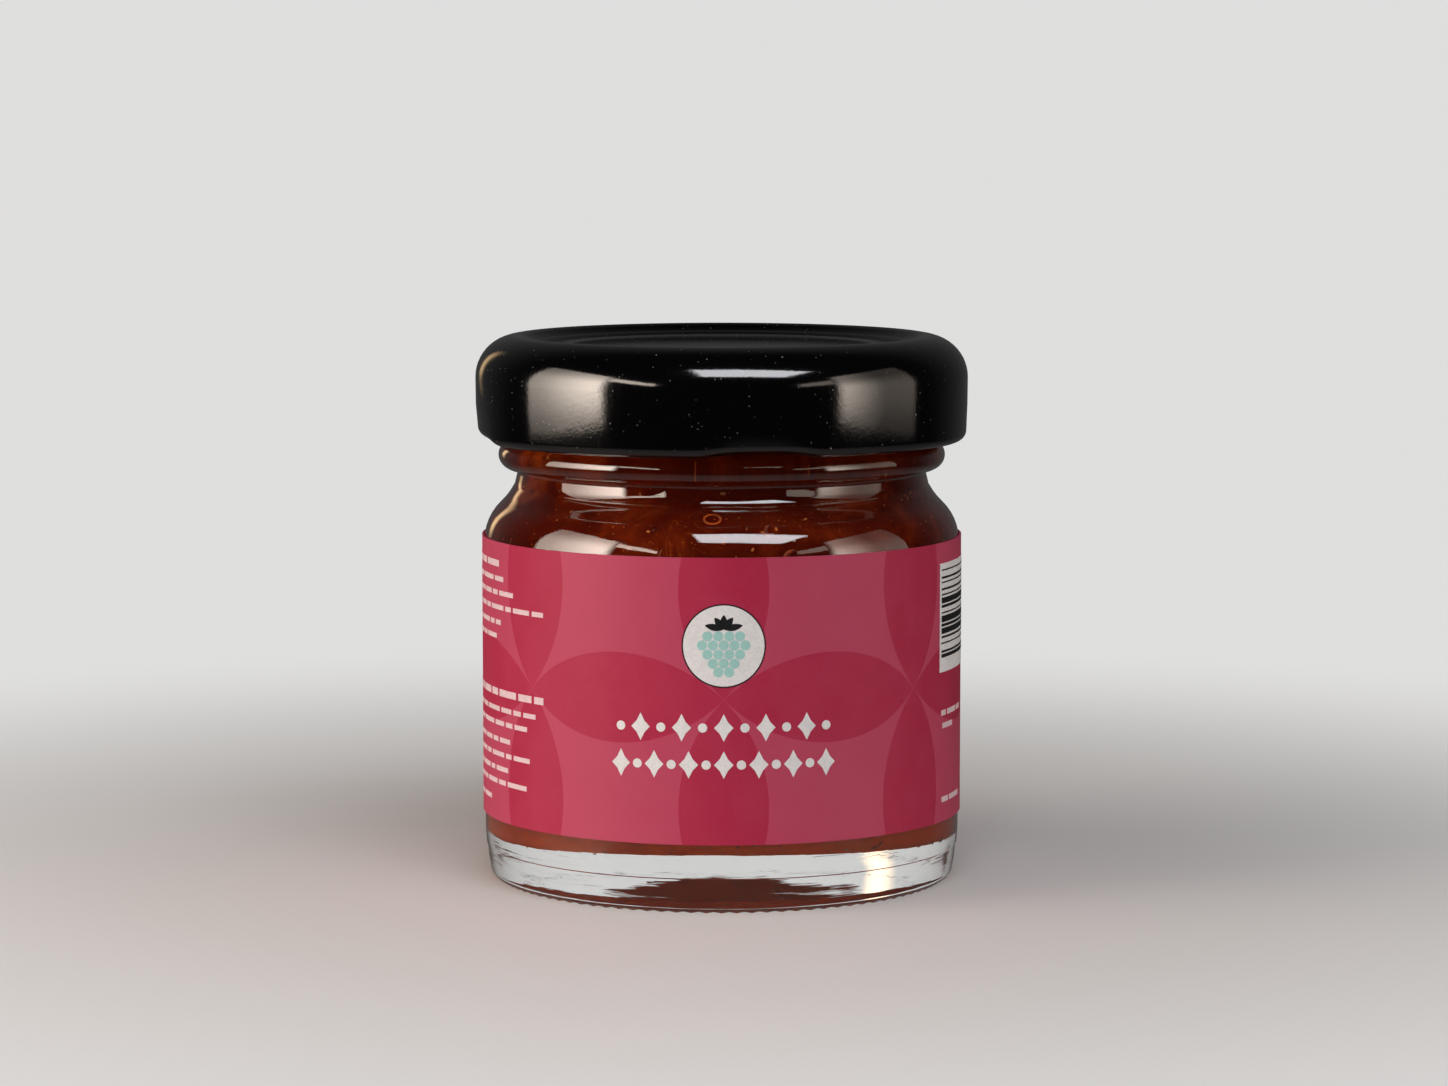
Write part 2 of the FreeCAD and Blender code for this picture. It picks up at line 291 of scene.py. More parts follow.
def joined(piece, other):
    """Melt another closed piece into this one, so that no faces are left between them."""
    modifier = piece.modifiers.new("joined", "BOOLEAN")
    modifier.operation = "UNION"
    modifier.solver = "EXACT"
    modifier.object = other
    plain_mesh(piece, modifier)
    bpy.data.objects.remove(other)
    smoothed(piece, SHARP_EDGE)
    return piece


def settled(piece, slot, material, *nodes):
    """Give a piece its finish, unless it has one, and its place on the frame."""
    if material is not None:
        piece.data.materials.clear()
        piece.data.materials.append(material)
    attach(piece, "root")
    if nodes:
        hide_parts(*nodes)


# ---------------------------------------------------------------- nodes

FLOAT = "NodeSocketFloat"
VECTOR = "NodeSocketVector"


def node(tree, kind, sockets=None, **settings):
    """Add a node, set it up and feed its sockets with values or with other nodes' outputs."""
    made = tree.nodes.new(kind)
    for name, value in settings.items():
        setattr(made, name, value)
    for name, source in (sockets or {}).items():
        if isinstance(source, bpy.types.NodeSocket):
            tree.links.new(source, made.inputs[name])
        else:
            made.inputs[name].default_value = source
    return made


def maths(tree, operation, *values):
    """The result of a Math node."""
    return node(tree, "ShaderNodeMath", dict(enumerate(values)), operation=operation).outputs[0]


def times(tree, first, second):
    """The product of two values."""
    return maths(tree, "MULTIPLY", first, second)


def most(tree, first, *others):
    """The largest of several values."""
    for other in others:
        first = maths(tree, "MAXIMUM", first, other)
    return first


def between(tree, value, low, high, bottom=0.0, top=1.0):
    """Map a value softly from one range to another, held at its ends."""
    sockets = {"Value": value, "From Min": low, "From Max": high, "To Min": bottom, "To Max": top}
    return node(tree, "ShaderNodeMapRange", sockets, interpolation_type="SMOOTHSTEP").outputs["Result"]


def blended(tree, share, first, second):
    """The value between two values."""
    return node(tree, "ShaderNodeMix", {0: share, 2: first, 3: second}).outputs[0]


def mixed(tree, share, first, second):
    """The colour between two colours."""
    first, second = (source if isinstance(source, bpy.types.NodeSocket) else (*source, 1.0)[:4]
                     for source in (first, second))
    return node(tree, "ShaderNodeMix", {0: share, 6: first, 7: second}, data_type="RGBA").outputs[2]


def parts(tree, vector):
    """The X, Y and Z of a vector."""
    return node(tree, "ShaderNodeSeparateXYZ", {0: vector}).outputs


def noise_of(tree, place, scale, detail=3.0, roughness=0.5, distortion=0.0):
    """A soft random value that changes from place to place."""
    return node(tree, "ShaderNodeTexNoise", {
        "Vector": place, "Scale": scale, "Detail": detail, "Roughness": roughness, "Distortion": distortion,
    }).outputs["Fac"]


def bumped(tree, height, distance, strength=1.0):
    """The normal of a surface with this height."""
    sockets = {"Height": height, "Distance": distance, "Strength": strength}
    return node(tree, "ShaderNodeBump", sockets).outputs[0]


def new_inputs(tree, inputs):
    """Give a node tree named inputs; returns their identifiers by name."""
    identifiers = {}
    for label, kind, default in inputs:
        socket = tree.interface.new_socket(label, in_out="INPUT", socket_type=kind)
        if default is not None:
            socket.default_value = default
        identifiers[label] = socket.identifier
    return identifiers


def new_group(name, inputs, outputs):
    """A shader node group with named sockets; returns the tree, what it is given and what it puts out."""
    tree = bpy.data.node_groups.new(name, "ShaderNodeTree")
    new_inputs(tree, inputs)
    for label in outputs:
        tree.interface.new_socket(label, in_out="OUTPUT", socket_type=FLOAT)
    return tree, node(tree, "NodeGroupInput").outputs, node(tree, "NodeGroupOutput").inputs


def build_specks(name):
    """Round specks of uneven size scattered through space: a mask."""
    tree, given, result = new_group(name, (
        ("Place", VECTOR, None), ("Spacing", FLOAT, 1 * MM), ("Size", FLOAT, 0.1), ("Share", FLOAT, 0.5),
    ), ("Mask",))
    scale = maths(tree, "DIVIDE", 1.0, given["Spacing"])
    cells = node(tree, "ShaderNodeTexVoronoi", {"Vector": given["Place"], "Scale": scale}).outputs
    pick = node(tree, "ShaderNodeSeparateColor", {"Color": cells["Color"]}).outputs
    size = times(tree, given["Size"], maths(tree, "MULTIPLY_ADD", pick["Red"], 0.8, 0.3))
    spot = between(tree, maths(tree, "SUBTRACT", size, cells["Distance"]), -0.015, 0.03)
    shown = maths(tree, "LESS_THAN", pick["Green"], given["Share"])
    tree.links.new(times(tree, spot, shown), result["Mask"])
    return tree


def build_grain(name):
    """Uneven height for a bump: a broad swell and a fine grain."""
    tree, given, result = new_group(name, (
        ("Place", VECTOR, None), ("Swell", FLOAT, 150.0), ("Fine", FLOAT, 4000.0), ("Balance", FLOAT, 0.5),
    ), ("Height",))
    broad = noise_of(tree, given["Place"], given["Swell"], detail=2.0)
    fine = noise_of(tree, given["Place"], given["Fine"], detail=4.0, roughness=0.6)
    tree.links.new(blended(tree, given["Balance"], broad, fine), result["Height"])
    return tree


def build_petals(name):
    """The traditional grid of overlapping circles on a flat sheet: 1 in the petals, 0 between them, and a
    mask of the fine line along their edges. Across and Up are measured from where four petals meet."""
    tree, given, result = new_group(name, (
        ("Across", FLOAT, 0.0), ("Up", FLOAT, 0.0), ("Pitch", FLOAT, 1.0), ("Circle", FLOAT, 0.7),
        ("Line", FLOAT, 0.01),
    ), ("Petal", "Edge"))
    half = times(tree, given["Pitch"], 0.5)
    folded = [maths(tree, "ABSOLUTE", maths(tree, "WRAP", given[axis], half, times(tree, half, -1.0)))
              for axis in ("Across", "Up")]
    depths = []
    for near, far in (folded, folded[::-1]):
        side = maths(tree, "ADD", near, half)
        ahead = maths(tree, "SUBTRACT", far, half)
        span = maths(tree, "SQRT", maths(tree, "ADD", times(tree, side, side), times(tree, ahead, ahead)))
        depths.append(maths(tree, "SUBTRACT", given["Circle"], span))
    depth = most(tree, *depths)
    soft = times(tree, given["Line"], 0.35)
    petal = between(tree, depth, times(tree, soft, -1.0), soft)
    edge = between(tree, maths(tree, "ABSOLUTE", depth), 0.0, given["Line"], 1.0, 0.0)
    tree.links.new(petal, result["Petal"])
    tree.links.new(edge, result["Edge"])
    return tree


GROUPS = {"specks": build_specks, "grain": build_grain, "petals": build_petals}


def placed(tree, name, **values):
    """Place one of the shared node groups, built at its first use, with its sockets by keyword."""
    group = bpy.data.node_groups.get(name) or GROUPS[name](name)
    sockets = {label.capitalize(): value for label, value in values.items()}
    return node(tree, "ShaderNodeGroup", sockets, node_tree=group).outputs


def bare_tree(owner):
    """The node tree of a material, lamp or world, emptied."""
    owner.use_nodes = True
    owner.node_tree.nodes.clear()
    return owner.node_tree


def new_material(name):
    """A material with an empty tree; returns it, its tree, its surface output and Object coordinates."""
    material = bpy.data.materials.new(name)
    tree = bare_tree(material)
    surface = node(tree, "ShaderNodeOutputMaterial").inputs["Surface"]
    place = node(tree, "ShaderNodeTexCoord").outputs["Object"]
    return material, tree, surface, place


def shaded(tree, surface, sockets):
    """Feed a material's surface from a Principled BSDF."""
    tree.links.new(node(tree, "ShaderNodeBsdfPrincipled", sockets).outputs[0], surface)


def toned(tone, share):
    """A colour at so much of its strength."""
    return tuple(channel * share for channel in tone)


# ---------------------------------------------------------------- finishes

def glass_finish(settings):
    """Clear pressed glass, a little wavy, with faint streaks drawn round it and faint rubbing. Shadow rays
    pass straight through, so that what is inside is lit."""
    material, tree, surface, place = new_material("clear_glass")
    swell = noise_of(tree, place, 210.0, detail=1.0)
    drawn = node(tree, "ShaderNodeMapping", {"Vector": place, "Scale": (90.0, 90.0, 1500.0)}).outputs[0]
    streaks = noise_of(tree, drawn, 1.0, detail=3.0, roughness=0.6)
    rubbing = noise_of(tree, place, 900.0, detail=5.0, roughness=0.7)
    glass = node(tree, "ShaderNodeBsdfPrincipled", {
        "Base Color": (*settings.tint, 1),
        "Metallic": 0.0,
        "Roughness": between(tree, rubbing, 0.35, 0.8, 0.0, 0.05),
        "IOR": 1.5,
        "Transmission Weight": 1.0,
        "Coat Weight": 1.0,
        "Coat Roughness": 0.02,
        "Coat IOR": 1.6,
        "Normal": bumped(tree, maths(tree, "MULTIPLY_ADD", streaks, 0.13, swell), 0.10 * MM),
    })
    clear = node(tree, "ShaderNodeBsdfTransparent", {"Color": (0.90, 0.92, 0.91, 1)})
    shadow = node(tree, "ShaderNodeLightPath").outputs["Is Shadow Ray"]
    blend = node(tree, "ShaderNodeMixShader", {0: shadow, 1: glass.outputs[0], 2: clear.outputs[0]})
    tree.links.new(blend.outputs[0], surface)
    return material


def dip_finish(settings):
    """Thick red jelly: dark and clouded, crossed by fine amber threads and flecked. Over the floor, below
    the
    label, its colour turns a bright orange: painted light, for the glow of light through the thin jelly
    there."""
    material, tree, surface, place = new_material("red_dip")
    height = parts(tree, place)["Z"]
    clouds = noise_of(tree, place, 140.0, detail=5.0, roughness=0.62, distortion=0.7)
    body = mixed(tree, between(tree, clouds, 0.40, 0.72), settings.deep, settings.bright)
    # Painted light: below the label the colour turns to the bright low colour, for light shining through
    # the thin jelly.
    thin = between(tree, height, LABEL_BOTTOM - 1 * MM, LABEL_BOTTOM + 4 * MM, 1.0, 0.0)
    thin = times(tree, thin, between(tree, clouds, 0.2, 0.7, 0.55, 1.0))
    body = mixed(tree, thin, body, settings.low)
    glow = noise_of(tree, place, 95.0, detail=2.0)
    lumps = times(tree, between(tree, glow, 0.60, 0.76), between(tree, clouds, 0.35, 0.65))
    ridges = noise_of(tree, place, 260.0, detail=2.0, distortion=2.5)
    away = maths(tree, "ABSOLUTE", maths(tree, "SUBTRACT", ridges, 0.5))
    threads = between(tree, away, 0.0, 0.012, 1.0, 0.0)
    patches = between(tree, noise_of(tree, place, 120.0), 0.52, 0.70)
    fine = placed(tree, "specks", place=place, spacing=0.50 * MM, size=0.17, share=0.35)["Mask"]
    pale = most(tree, times(tree, threads, times(tree, patches, 0.35)), times(tree, fine, 0.55),
                times(tree, lumps, 0.45))
    shaded(tree, surface, {
        "Base Color": mixed(tree, pale, body, settings.amber),
        "Roughness": between(tree, clouds, 0.3, 0.7, 0.4, 0.6),
        "IOR": 1.40,
        "Specular IOR Level": 0.0,
        "Subsurface Weight": 0.5,
        "Subsurface Radius": (2.2 * MM, 0.4 * MM, 0.15 * MM),
        "Subsurface Scale": 1.0,
        "Normal": bumped(tree, clouds, 0.3 * MM, 0.6),
    })
    return material


def bit_finish(name, tone, gloss, variation):
    """Seeds and shreds: a wet grain of one tone, uneven from piece to piece."""
    material, tree, surface, place = new_material(name)
    patches = noise_of(tree, place, 1500.0, detail=2.0)
    dark = toned(tone, variation)
    shaded(tree, surface, {
        "Base Color": mixed(tree, between(tree, patches, 0.35, 0.65), dark, tone),
        "Roughness": gloss,
        "Specular IOR Level": 0.2,
        "Subsurface Weight": 0.3,
        "Subsurface Radius": (1.0 * MM, 0.3 * MM, 0.1 * MM),
        "Subsurface Scale": 1.0,
        "Normal": bumped(tree, patches, 0.05 * MM),
    })
    return material


def bubble_finish():
    """Air shut in jelly, seen through the glass."""
    material, tree, surface, place = new_material("air_bubble")
    film = noise_of(tree, place, 600.0)
    shaded(tree, surface, {
        "Base Color": (1.0, 0.62, 0.45, 1),
        "Metallic": 0.0,
        "Roughness": between(tree, film, 0.3, 0.7, 0.0, 0.08),
        "IOR": 0.75,
        "Transmission Weight": 1.0,
    })
    return material


PRINT_CENTRE = 0.2 * MM


def paper_finish(settings):
    """Satin paper with the circle pattern printed tone on tone, read from the label's own map."""
    material, tree, surface, place = new_material("rose_paper")
    wrap = node(tree, "ShaderNodeUVMap", uv_map="wrap").outputs[0]
    spot = parts(tree, wrap)
    span = math.tau * LABEL_RADIUS - settings.gap
    across = maths(tree, "MULTIPLY_ADD", spot["X"], span, -span / 2 - PRINT_CENTRE)
    up = maths(tree, "MULTIPLY_ADD", spot["Y"], LABEL_TOP - LABEL_BOTTOM,
               LABEL_BOTTOM - settings.pattern_height)
    petals = placed(tree, "petals", across=across, up=up, pitch=settings.pitch,
                    circle=settings.circle, line=0.10 * MM)
    tone = mixed(tree, petals["Petal"], settings.ground, settings.petal)
    lined = mixed(tree, times(tree, petals["Edge"], 0.25), tone, settings.ground)
    fibres = placed(tree, "grain", place=place, swell=300.0, fine=5200.0, balance=0.55)
    mottle = between(tree, fibres["Height"], 0.35, 0.65, 0.0, 0.06)
    shaded(tree, surface, {
        "Base Color": mixed(tree, mottle, lined, (0.70, 0.18, 0.26)),
        "Roughness": between(tree, fibres["Height"], 0.3, 0.7, 0.45, 0.60),
        "Specular IOR Level": 0.25,
        "Normal": bumped(tree, fibres["Height"], 0.02 * MM, 0.5),
    })
    return material


def ink_finish(name, tone):
    """Printing ink on paper, slightly uneven."""
    material, tree, surface, place = new_material(name)
    fibres = placed(tree, "grain", place=place, swell=800.0, fine=5200.0, balance=0.7)
    worn = tuple(min(1.0, channel * 0.86 + 0.006) for channel in tone)
    shaded(tree, surface, {
        "Base Color": mixed(tree, between(tree, fibres["Height"], 0.35, 0.65), worn, tone),
        "Roughness": between(tree, fibres["Height"], 0.3, 0.7, 0.40, 0.55),
        "Specular IOR Level": 0.2,
        "Normal": bumped(tree, fibres["Height"], 0.02 * MM, 0.4),
    })
    return material


SCRATCH_RATE = 9000.0
# Turn and length-to-width of each set of scratches.
SCRATCHES = ((0.5, 28.0), (-0.9, 34.0), (1.9, 24.0))


def lacquer_finish(settings):
    """Glossy black lacquer on steel, finely scratched, with settled dust."""
    material, tree, surface, place = new_material("black_lacquer")
    dust = placed(tree, "specks", place=place, spacing=1.1 * MM, size=0.075, share=settings.dust)["Mask"]
    motes = placed(tree, "specks", place=place, spacing=0.5 * MM, size=0.13, share=settings.dust)["Mask"]
    dusty = most(tree, times(tree, dust, 0.6), times(tree, motes, 0.35))
    scratches = []
    for turn, stretch in SCRATCHES:
        along = SCRATCH_RATE / stretch
        lie = node(tree, "ShaderNodeMapping", {
            "Vector": place, "Rotation": (turn, turn * 1.7, turn * 0.6),
            "Scale": (SCRATCH_RATE, along, along)}).outputs[0]
        scratches.append(between(tree, noise_of(tree, lie, 1.0, detail=2.0), 0.62, 0.74))
    marks = most(tree, *scratches)
    peel = placed(tree, "grain", place=place, swell=420.0, fine=3200.0, balance=0.35)
    height = maths(tree, "MULTIPLY_ADD", marks, -0.02, peel["Height"])
    shaded(tree, surface, {
        "Base Color": mixed(tree, dusty, settings.lacquer, (0.30, 0.28, 0.26)),
        "Metallic": 0.0,
        "Roughness": most(tree, between(tree, marks, 0.0, 1.0, 0.085, 0.13), times(tree, dusty, 0.8)),
        "IOR": 1.85,
        "Normal": bumped(tree, height, 0.012 * MM),
    })
    return material


def backdrop_level(tree, bearing):
    """How bright the backdrop is: full where the camera or clear glass sees it, fading towards the camera's
    side where gloss mirrors it, and low where it only lights the jar."""
    ahead = parts(tree, bearing)["Y"]
    path = node(tree, "ShaderNodeLightPath").outputs
    mirrored = between(tree, ahead, 0.3, 1.0, 0.01, 0.09)
    level = blended(tree, path["Is Glossy Ray"], 0.2, mirrored)
    seen = most(tree, path["Is Camera Ray"], path["Is Transmission Ray"])
    return blended(tree, seen, level, 1.0)


def floor_finish(settings):
    """Pale matt floor with the faintest unevenness, dim where gloss mirrors it, which runs out into the
    backdrop away from the jar."""
    material, tree, surface, place = new_material("pale_floor")
    swell = noise_of(tree, place, 12.0, detail=3.0)
    plain = mixed(tree, swell, toned(settings.floor, 0.97), settings.floor)
    glossy = node(tree, "ShaderNodeLightPath").outputs["Is Glossy Ray"]
    floor = node(tree, "ShaderNodeBsdfPrincipled", {
        "Base Color": mixed(tree, glossy, plain, toned(settings.floor, 0.25)),
        "Roughness": 0.6,
        "Specular IOR Level": 0.3,
    })
    away = node(tree, "ShaderNodeVectorMath", {0: place}, operation="LENGTH").outputs["Value"]
    bearing = node(tree, "ShaderNodeVectorMath", {0: place}, operation="NORMALIZE").outputs["Vector"]
    glow = node(tree, "ShaderNodeEmission",
                {"Color": (*settings.backdrop, 1), "Strength": backdrop_level(tree, bearing)})
    whole = node(tree, "ShaderNodeMixShader",
                 {0: between(tree, away, 0.035, 0.17), 1: floor.outputs[0], 2: glow.outputs[0]})
    tree.links.new(whole.outputs[0], surface)
    return material


# ---------------------------------------------------------------- glass and dip

FOOT_RADIUS = 20.95 * MM
FOOT_WIDTH = 2.1 * MM
FOOT_ROUND = 0.85 * MM
FOOT_TURN = -12.8
BASE_HEIGHT = 1.7 * MM
BASE_EDGE = (1.2 * MM, 0.9 * MM)
HEEL_HEIGHT = 5.3 * MM
HEEL_CURVE = 19.0 * MM
LEDGE = (22.2 * MM, 3.35 * MM)
LEDGE_DEPTH = 0.11 * MM
SHOULDER_START = 31.75 * MM
SHOULDER_MIDDLE = (20.75 * MM, 35.3 * MM)
NECK_START = 37.0 * MM
NECK_END = 38.07 * MM
NECK_RADIUS = 19.42 * MM
NECK_TAPER = 0.24 * MM
PARTING = 0.08 * MM
BEAD = (19.65 * MM, 39.85 * MM, 1.28 * MM)
BEAD_TURN = (-76, 58)
FINISH_RADIUS = 19.8 * MM
FINISH_BOTTOM = 41.7 * MM
RIM_ROUND = 0.8 * MM
BORE_RADIUS = 17.4 * MM
BORE_END = 37.4 * MM
INNER_SHOULDER = (34.5 * MM, 31.6 * MM)
INNER_CORNER = 3.8 * MM
FLOOR_RISE = 0.75 * MM
FLOOR_SAG = 1.4 * MM
FLOOR_SAG_FADE = 5.5 * MM
LUGS = 4
FIRST_LUG = math.radians(9)
THREAD_ROOT = (FINISH_RADIUS - 0.4 * MM, 0.75 * MM)
THREAD_CREST = (21.0 * MM, 0.35 * MM)
THREAD_MIDDLE = 43.85 * MM
THREAD_START = math.radians(-7)
THREAD_SWEEP = math.radians(62)
THREAD_RISE = 1.5 * MM
THREAD_STEPS = 36
THREAD_FADE = 5
GLASS_DETAIL = (1.0 * MM, math.radians(9))
SIDES_PER_KNURL = 4
RIPPLE_STRETCH = 1.4
EDGE_SLACK = 0.1 * MM
KNURL_SLACK = 0.036 * MM
MENISCUS = (1.2 * MM, 0.7 * MM)
DIP_DETAIL = (1.0 * MM, math.radians(8))
DIP_SIDES = 240


def sagged(bearing, radius, height):
    """The height of a point of the inner floor, which is lower at the sides than at front and back."""
    near = max(0.0, 1 - max(0.0, height - FLOOR_HEIGHT) / FLOOR_SAG_FADE)
    return height - FLOOR_SAG * math.sin(bearing) ** 2 * near * (radius / INNER_RADIUS) ** 2


def inner_outline(grow=0.0):
    """The inside of the glass from the mouth to the middle of the floor, grown outwards by so much."""
    inner = INNER_RADIUS + grow
    bore = BORE_RADIUS + grow
    floor = FLOOR_HEIGHT - grow
    return [
        (bore, BORE_END, SMOOTH),
        ((bore + inner) / 2, INNER_SHOULDER[0], SMOOTH),
        (inner, INNER_SHOULDER[1], LINE),
        (inner, floor + INNER_CORNER, SMOOTH),
        (inner - INNER_CORNER, floor, LINE),
        (0.0, floor + FLOOR_RISE, LINE),
    ]


def outer_outline(knurl):
    """The outside of the glass from the middle of the base up to the mouth."""
    foot_inner = FOOT_RADIUS - FOOT_WIDTH
    return [
        (0.0, BASE_HEIGHT, LINE),
        (foot_inner - BASE_EDGE[0], BASE_EDGE[1], LINE),
        (foot_inner, knurl, LINE),
        (FOOT_RADIUS, knurl, bent(FOOT_ROUND, "left")),
        (*around(FOOT_RADIUS, FOOT_ROUND + knurl, FOOT_ROUND, FOOT_TURN), SMOOTH),
        (LEDGE[0] - LEDGE_DEPTH, LEDGE[1] - LEDGE_DEPTH, LINE),
        (*LEDGE, bent(HEEL_CURVE, "left")),
        (BODY_RADIUS, HEEL_HEIGHT, LINE),
        (BODY_RADIUS, SHOULDER_START, SMOOTH),
        (*SHOULDER_MIDDLE, SMOOTH),
        (NECK_RADIUS + PARTING, NECK_START - PARTING, LINE),
        (NECK_RADIUS, NECK_START, LINE),
        (NECK_RADIUS - NECK_TAPER, NECK_END, SMOOTH),
        (*around(*BEAD, BEAD_TURN[0]), bent(BEAD[2], "left")),
        (*around(*BEAD, BEAD_TURN[1]), LINE),
        (FINISH_RADIUS, FINISH_BOTTOM, LINE),
        (FINISH_RADIUS, RIM_HEIGHT - RIM_ROUND, SMOOTH),
        (FINISH_RADIUS - RIM_ROUND, RIM_HEIGHT, LINE),
        (BORE_RADIUS + RIM_ROUND, RIM_HEIGHT, SMOOTH),
        (BORE_RADIUS, RIM_HEIGHT - RIM_ROUND, LINE),
    ]


class JAR_OT_glass(bpy.types.Operator):
    """Make the glass jar with its wavy pressed surface, knurled foot and twist-off threads"""
    bl_idname = "jar.glass"
    bl_label = "Glass"

    def execute(self, context):
        settings = context.scene.jar_glass
        knurl = settings.knurl_height

        def uneven(bearing, radius, height):
            """Ripple the outside, sag the inner floor and knurl the foot."""
            outside = radius > NECK_RADIUS - NECK_TAPER and height < FINISH_BOTTOM
            if outside:
                place = Vector((math.sin(bearing) * radius, math.cos(bearing) * radius,
                                height * RIPPLE_STRETCH))
                radius += settings.ripple * noise.noise(place / settings.ripple_length)
            inside = radius < INNER_RADIUS + settings.ripple and height > FLOOR_HEIGHT - EDGE_SLACK
            if inside:
                height = sagged(bearing, radius, height)
            on_foot = height < knurl + KNURL_SLACK and radius > FOOT_RADIUS - FOOT_WIDTH - EDGE_SLACK
            if on_foot:
                height -= knurl * (0.5 + 0.5 * math.cos(settings.knurls * bearing))
            return radius, height

        bm = bmesh.new()
        outline = outer_outline(knurl) + inner_outline()
        turned(bm, traced(outline, *GLASS_DETAIL), settings.knurls * SIDES_PER_KNURL, uneven)
        ridge = [(radius, THREAD_MIDDLE - half) for radius, half in (THREAD_ROOT, THREAD_CREST)]
        ridge += [(radius, THREAD_MIDDLE + half) for radius, half in (THREAD_CREST, THREAD_ROOT)]
        threads = bmesh.new()
        for thread in range(LUGS):
            swept(threads, ridge, THREAD_START + math.tau * thread / LUGS, THREAD_SWEEP, THREAD_RISE,
                  THREAD_STEPS, THREAD_FADE)
        piece = joined(finished("glass", bm), finished("threads", threads))
        settled(piece, "clear_glass", glass_finish(settings), "glass_jar")
        return {"FINISHED"}


class JAR_OT_dip(bpy.types.Operator):
    """Make the dip, which reaches just into the glass so that no air shows between them"""
    bl_idname = "jar.dip"
    bl_label = "Dip"

    def execute(self, context):
        settings = context.scene.jar_dip
        bm = bmesh.new()
        reach = settings.reach
        outline = [
            (0.0, FILL_HEIGHT, LINE),
            (BORE_RADIUS - MENISCUS[0], FILL_HEIGHT, SMOOTH),
            (BORE_RADIUS + reach, FILL_HEIGHT + MENISCUS[1], LINE),
        ] + inner_outline(reach)
        turned(bm, traced(outline, *DIP_DETAIL), DIP_SIDES,
               lambda bearing, radius, height: (radius, sagged(bearing, radius, height)))
        piece = finished("dip", bm)
        settled(piece, "red_dip", dip_finish(settings), "fruit_dip")
        return {"FINISHED"}


# ---------------------------------------------------------------- what is sunk in the dip

BUBBLE_PLACE = Vector((-0.8 * MM, -18.4 * MM, 35.0 * MM))
BUBBLE_TILT = Matrix.Rotation(math.radians(-44), 3, "X")
# Thickness of the ring of painted light at the large bubble's edge.
PAINTED_RING_THICKNESS = 0.11 * MM
SEED_SIZES = (0.10 * MM, 0.55 * MM)
BIT_SIZES = (0.5 * MM, 1.9 * MM)
BUBBLE_SIZES = (0.14 * MM, 0.6 * MM)
LUMP_RATE = 2.3
POINTED = 0.5
BEND_MIDDLE = 0.12
SEED_STEP = 7.0
MOSTLY_SMALL = 3.0


def grain_shape(name, proportions, lumps=0.0, curve=0.0, rings=5, sides=8):
    """A small rounded grain for scattering, a little pointed, lumpy, and curved in its own plane."""
    bm = bmesh.new()
    bmesh.ops.create_uvsphere(bm, u_segments=sides, v_segments=rings, radius=0.5,
                              matrix=Matrix.Rotation(math.pi / 2, 4, "Y"))
    for vertex in bm.verts:
        place = vertex.co * (1 + lumps * noise.noise(vertex.co * LUMP_RATE))
        place.y *= 1 - POINTED * place.x
        place = Vector(part * size for part, size in zip(place, proportions))
        place.y += curve * (place.x ** 2 - BEND_MIDDLE)
        vertex.co = place
    return finished(name, bm, sharp=180)


def painted_ring_mesh(width, height, sides=48, corners=10):
    """A ring of painted light for the large bubble, standing in for the light its edge bends and mirrors,
    laid on the dip's shoulder at the front.
    """
    bm = bmesh.new()
    rings = []
    for side in range(sides):
        turn = math.tau * side / sides
        out = Vector((math.cos(turn), 0, math.sin(turn)))
        line = Vector((width / 2 * out.x, 0, height / 2 * out.z))
        ring = []
        for corner in range(corners):
            lean = math.tau * corner / corners
            spot = line + PAINTED_RING_THICKNESS * (out * math.cos(lean) + Vector((0, -1, 0)) * math.sin(lean))
            ring.append(bm.verts.new(BUBBLE_PLACE + BUBBLE_TILT @ spot))
        rings.append(ring)
    skinned(bm, rings + rings[:1])
    return bm


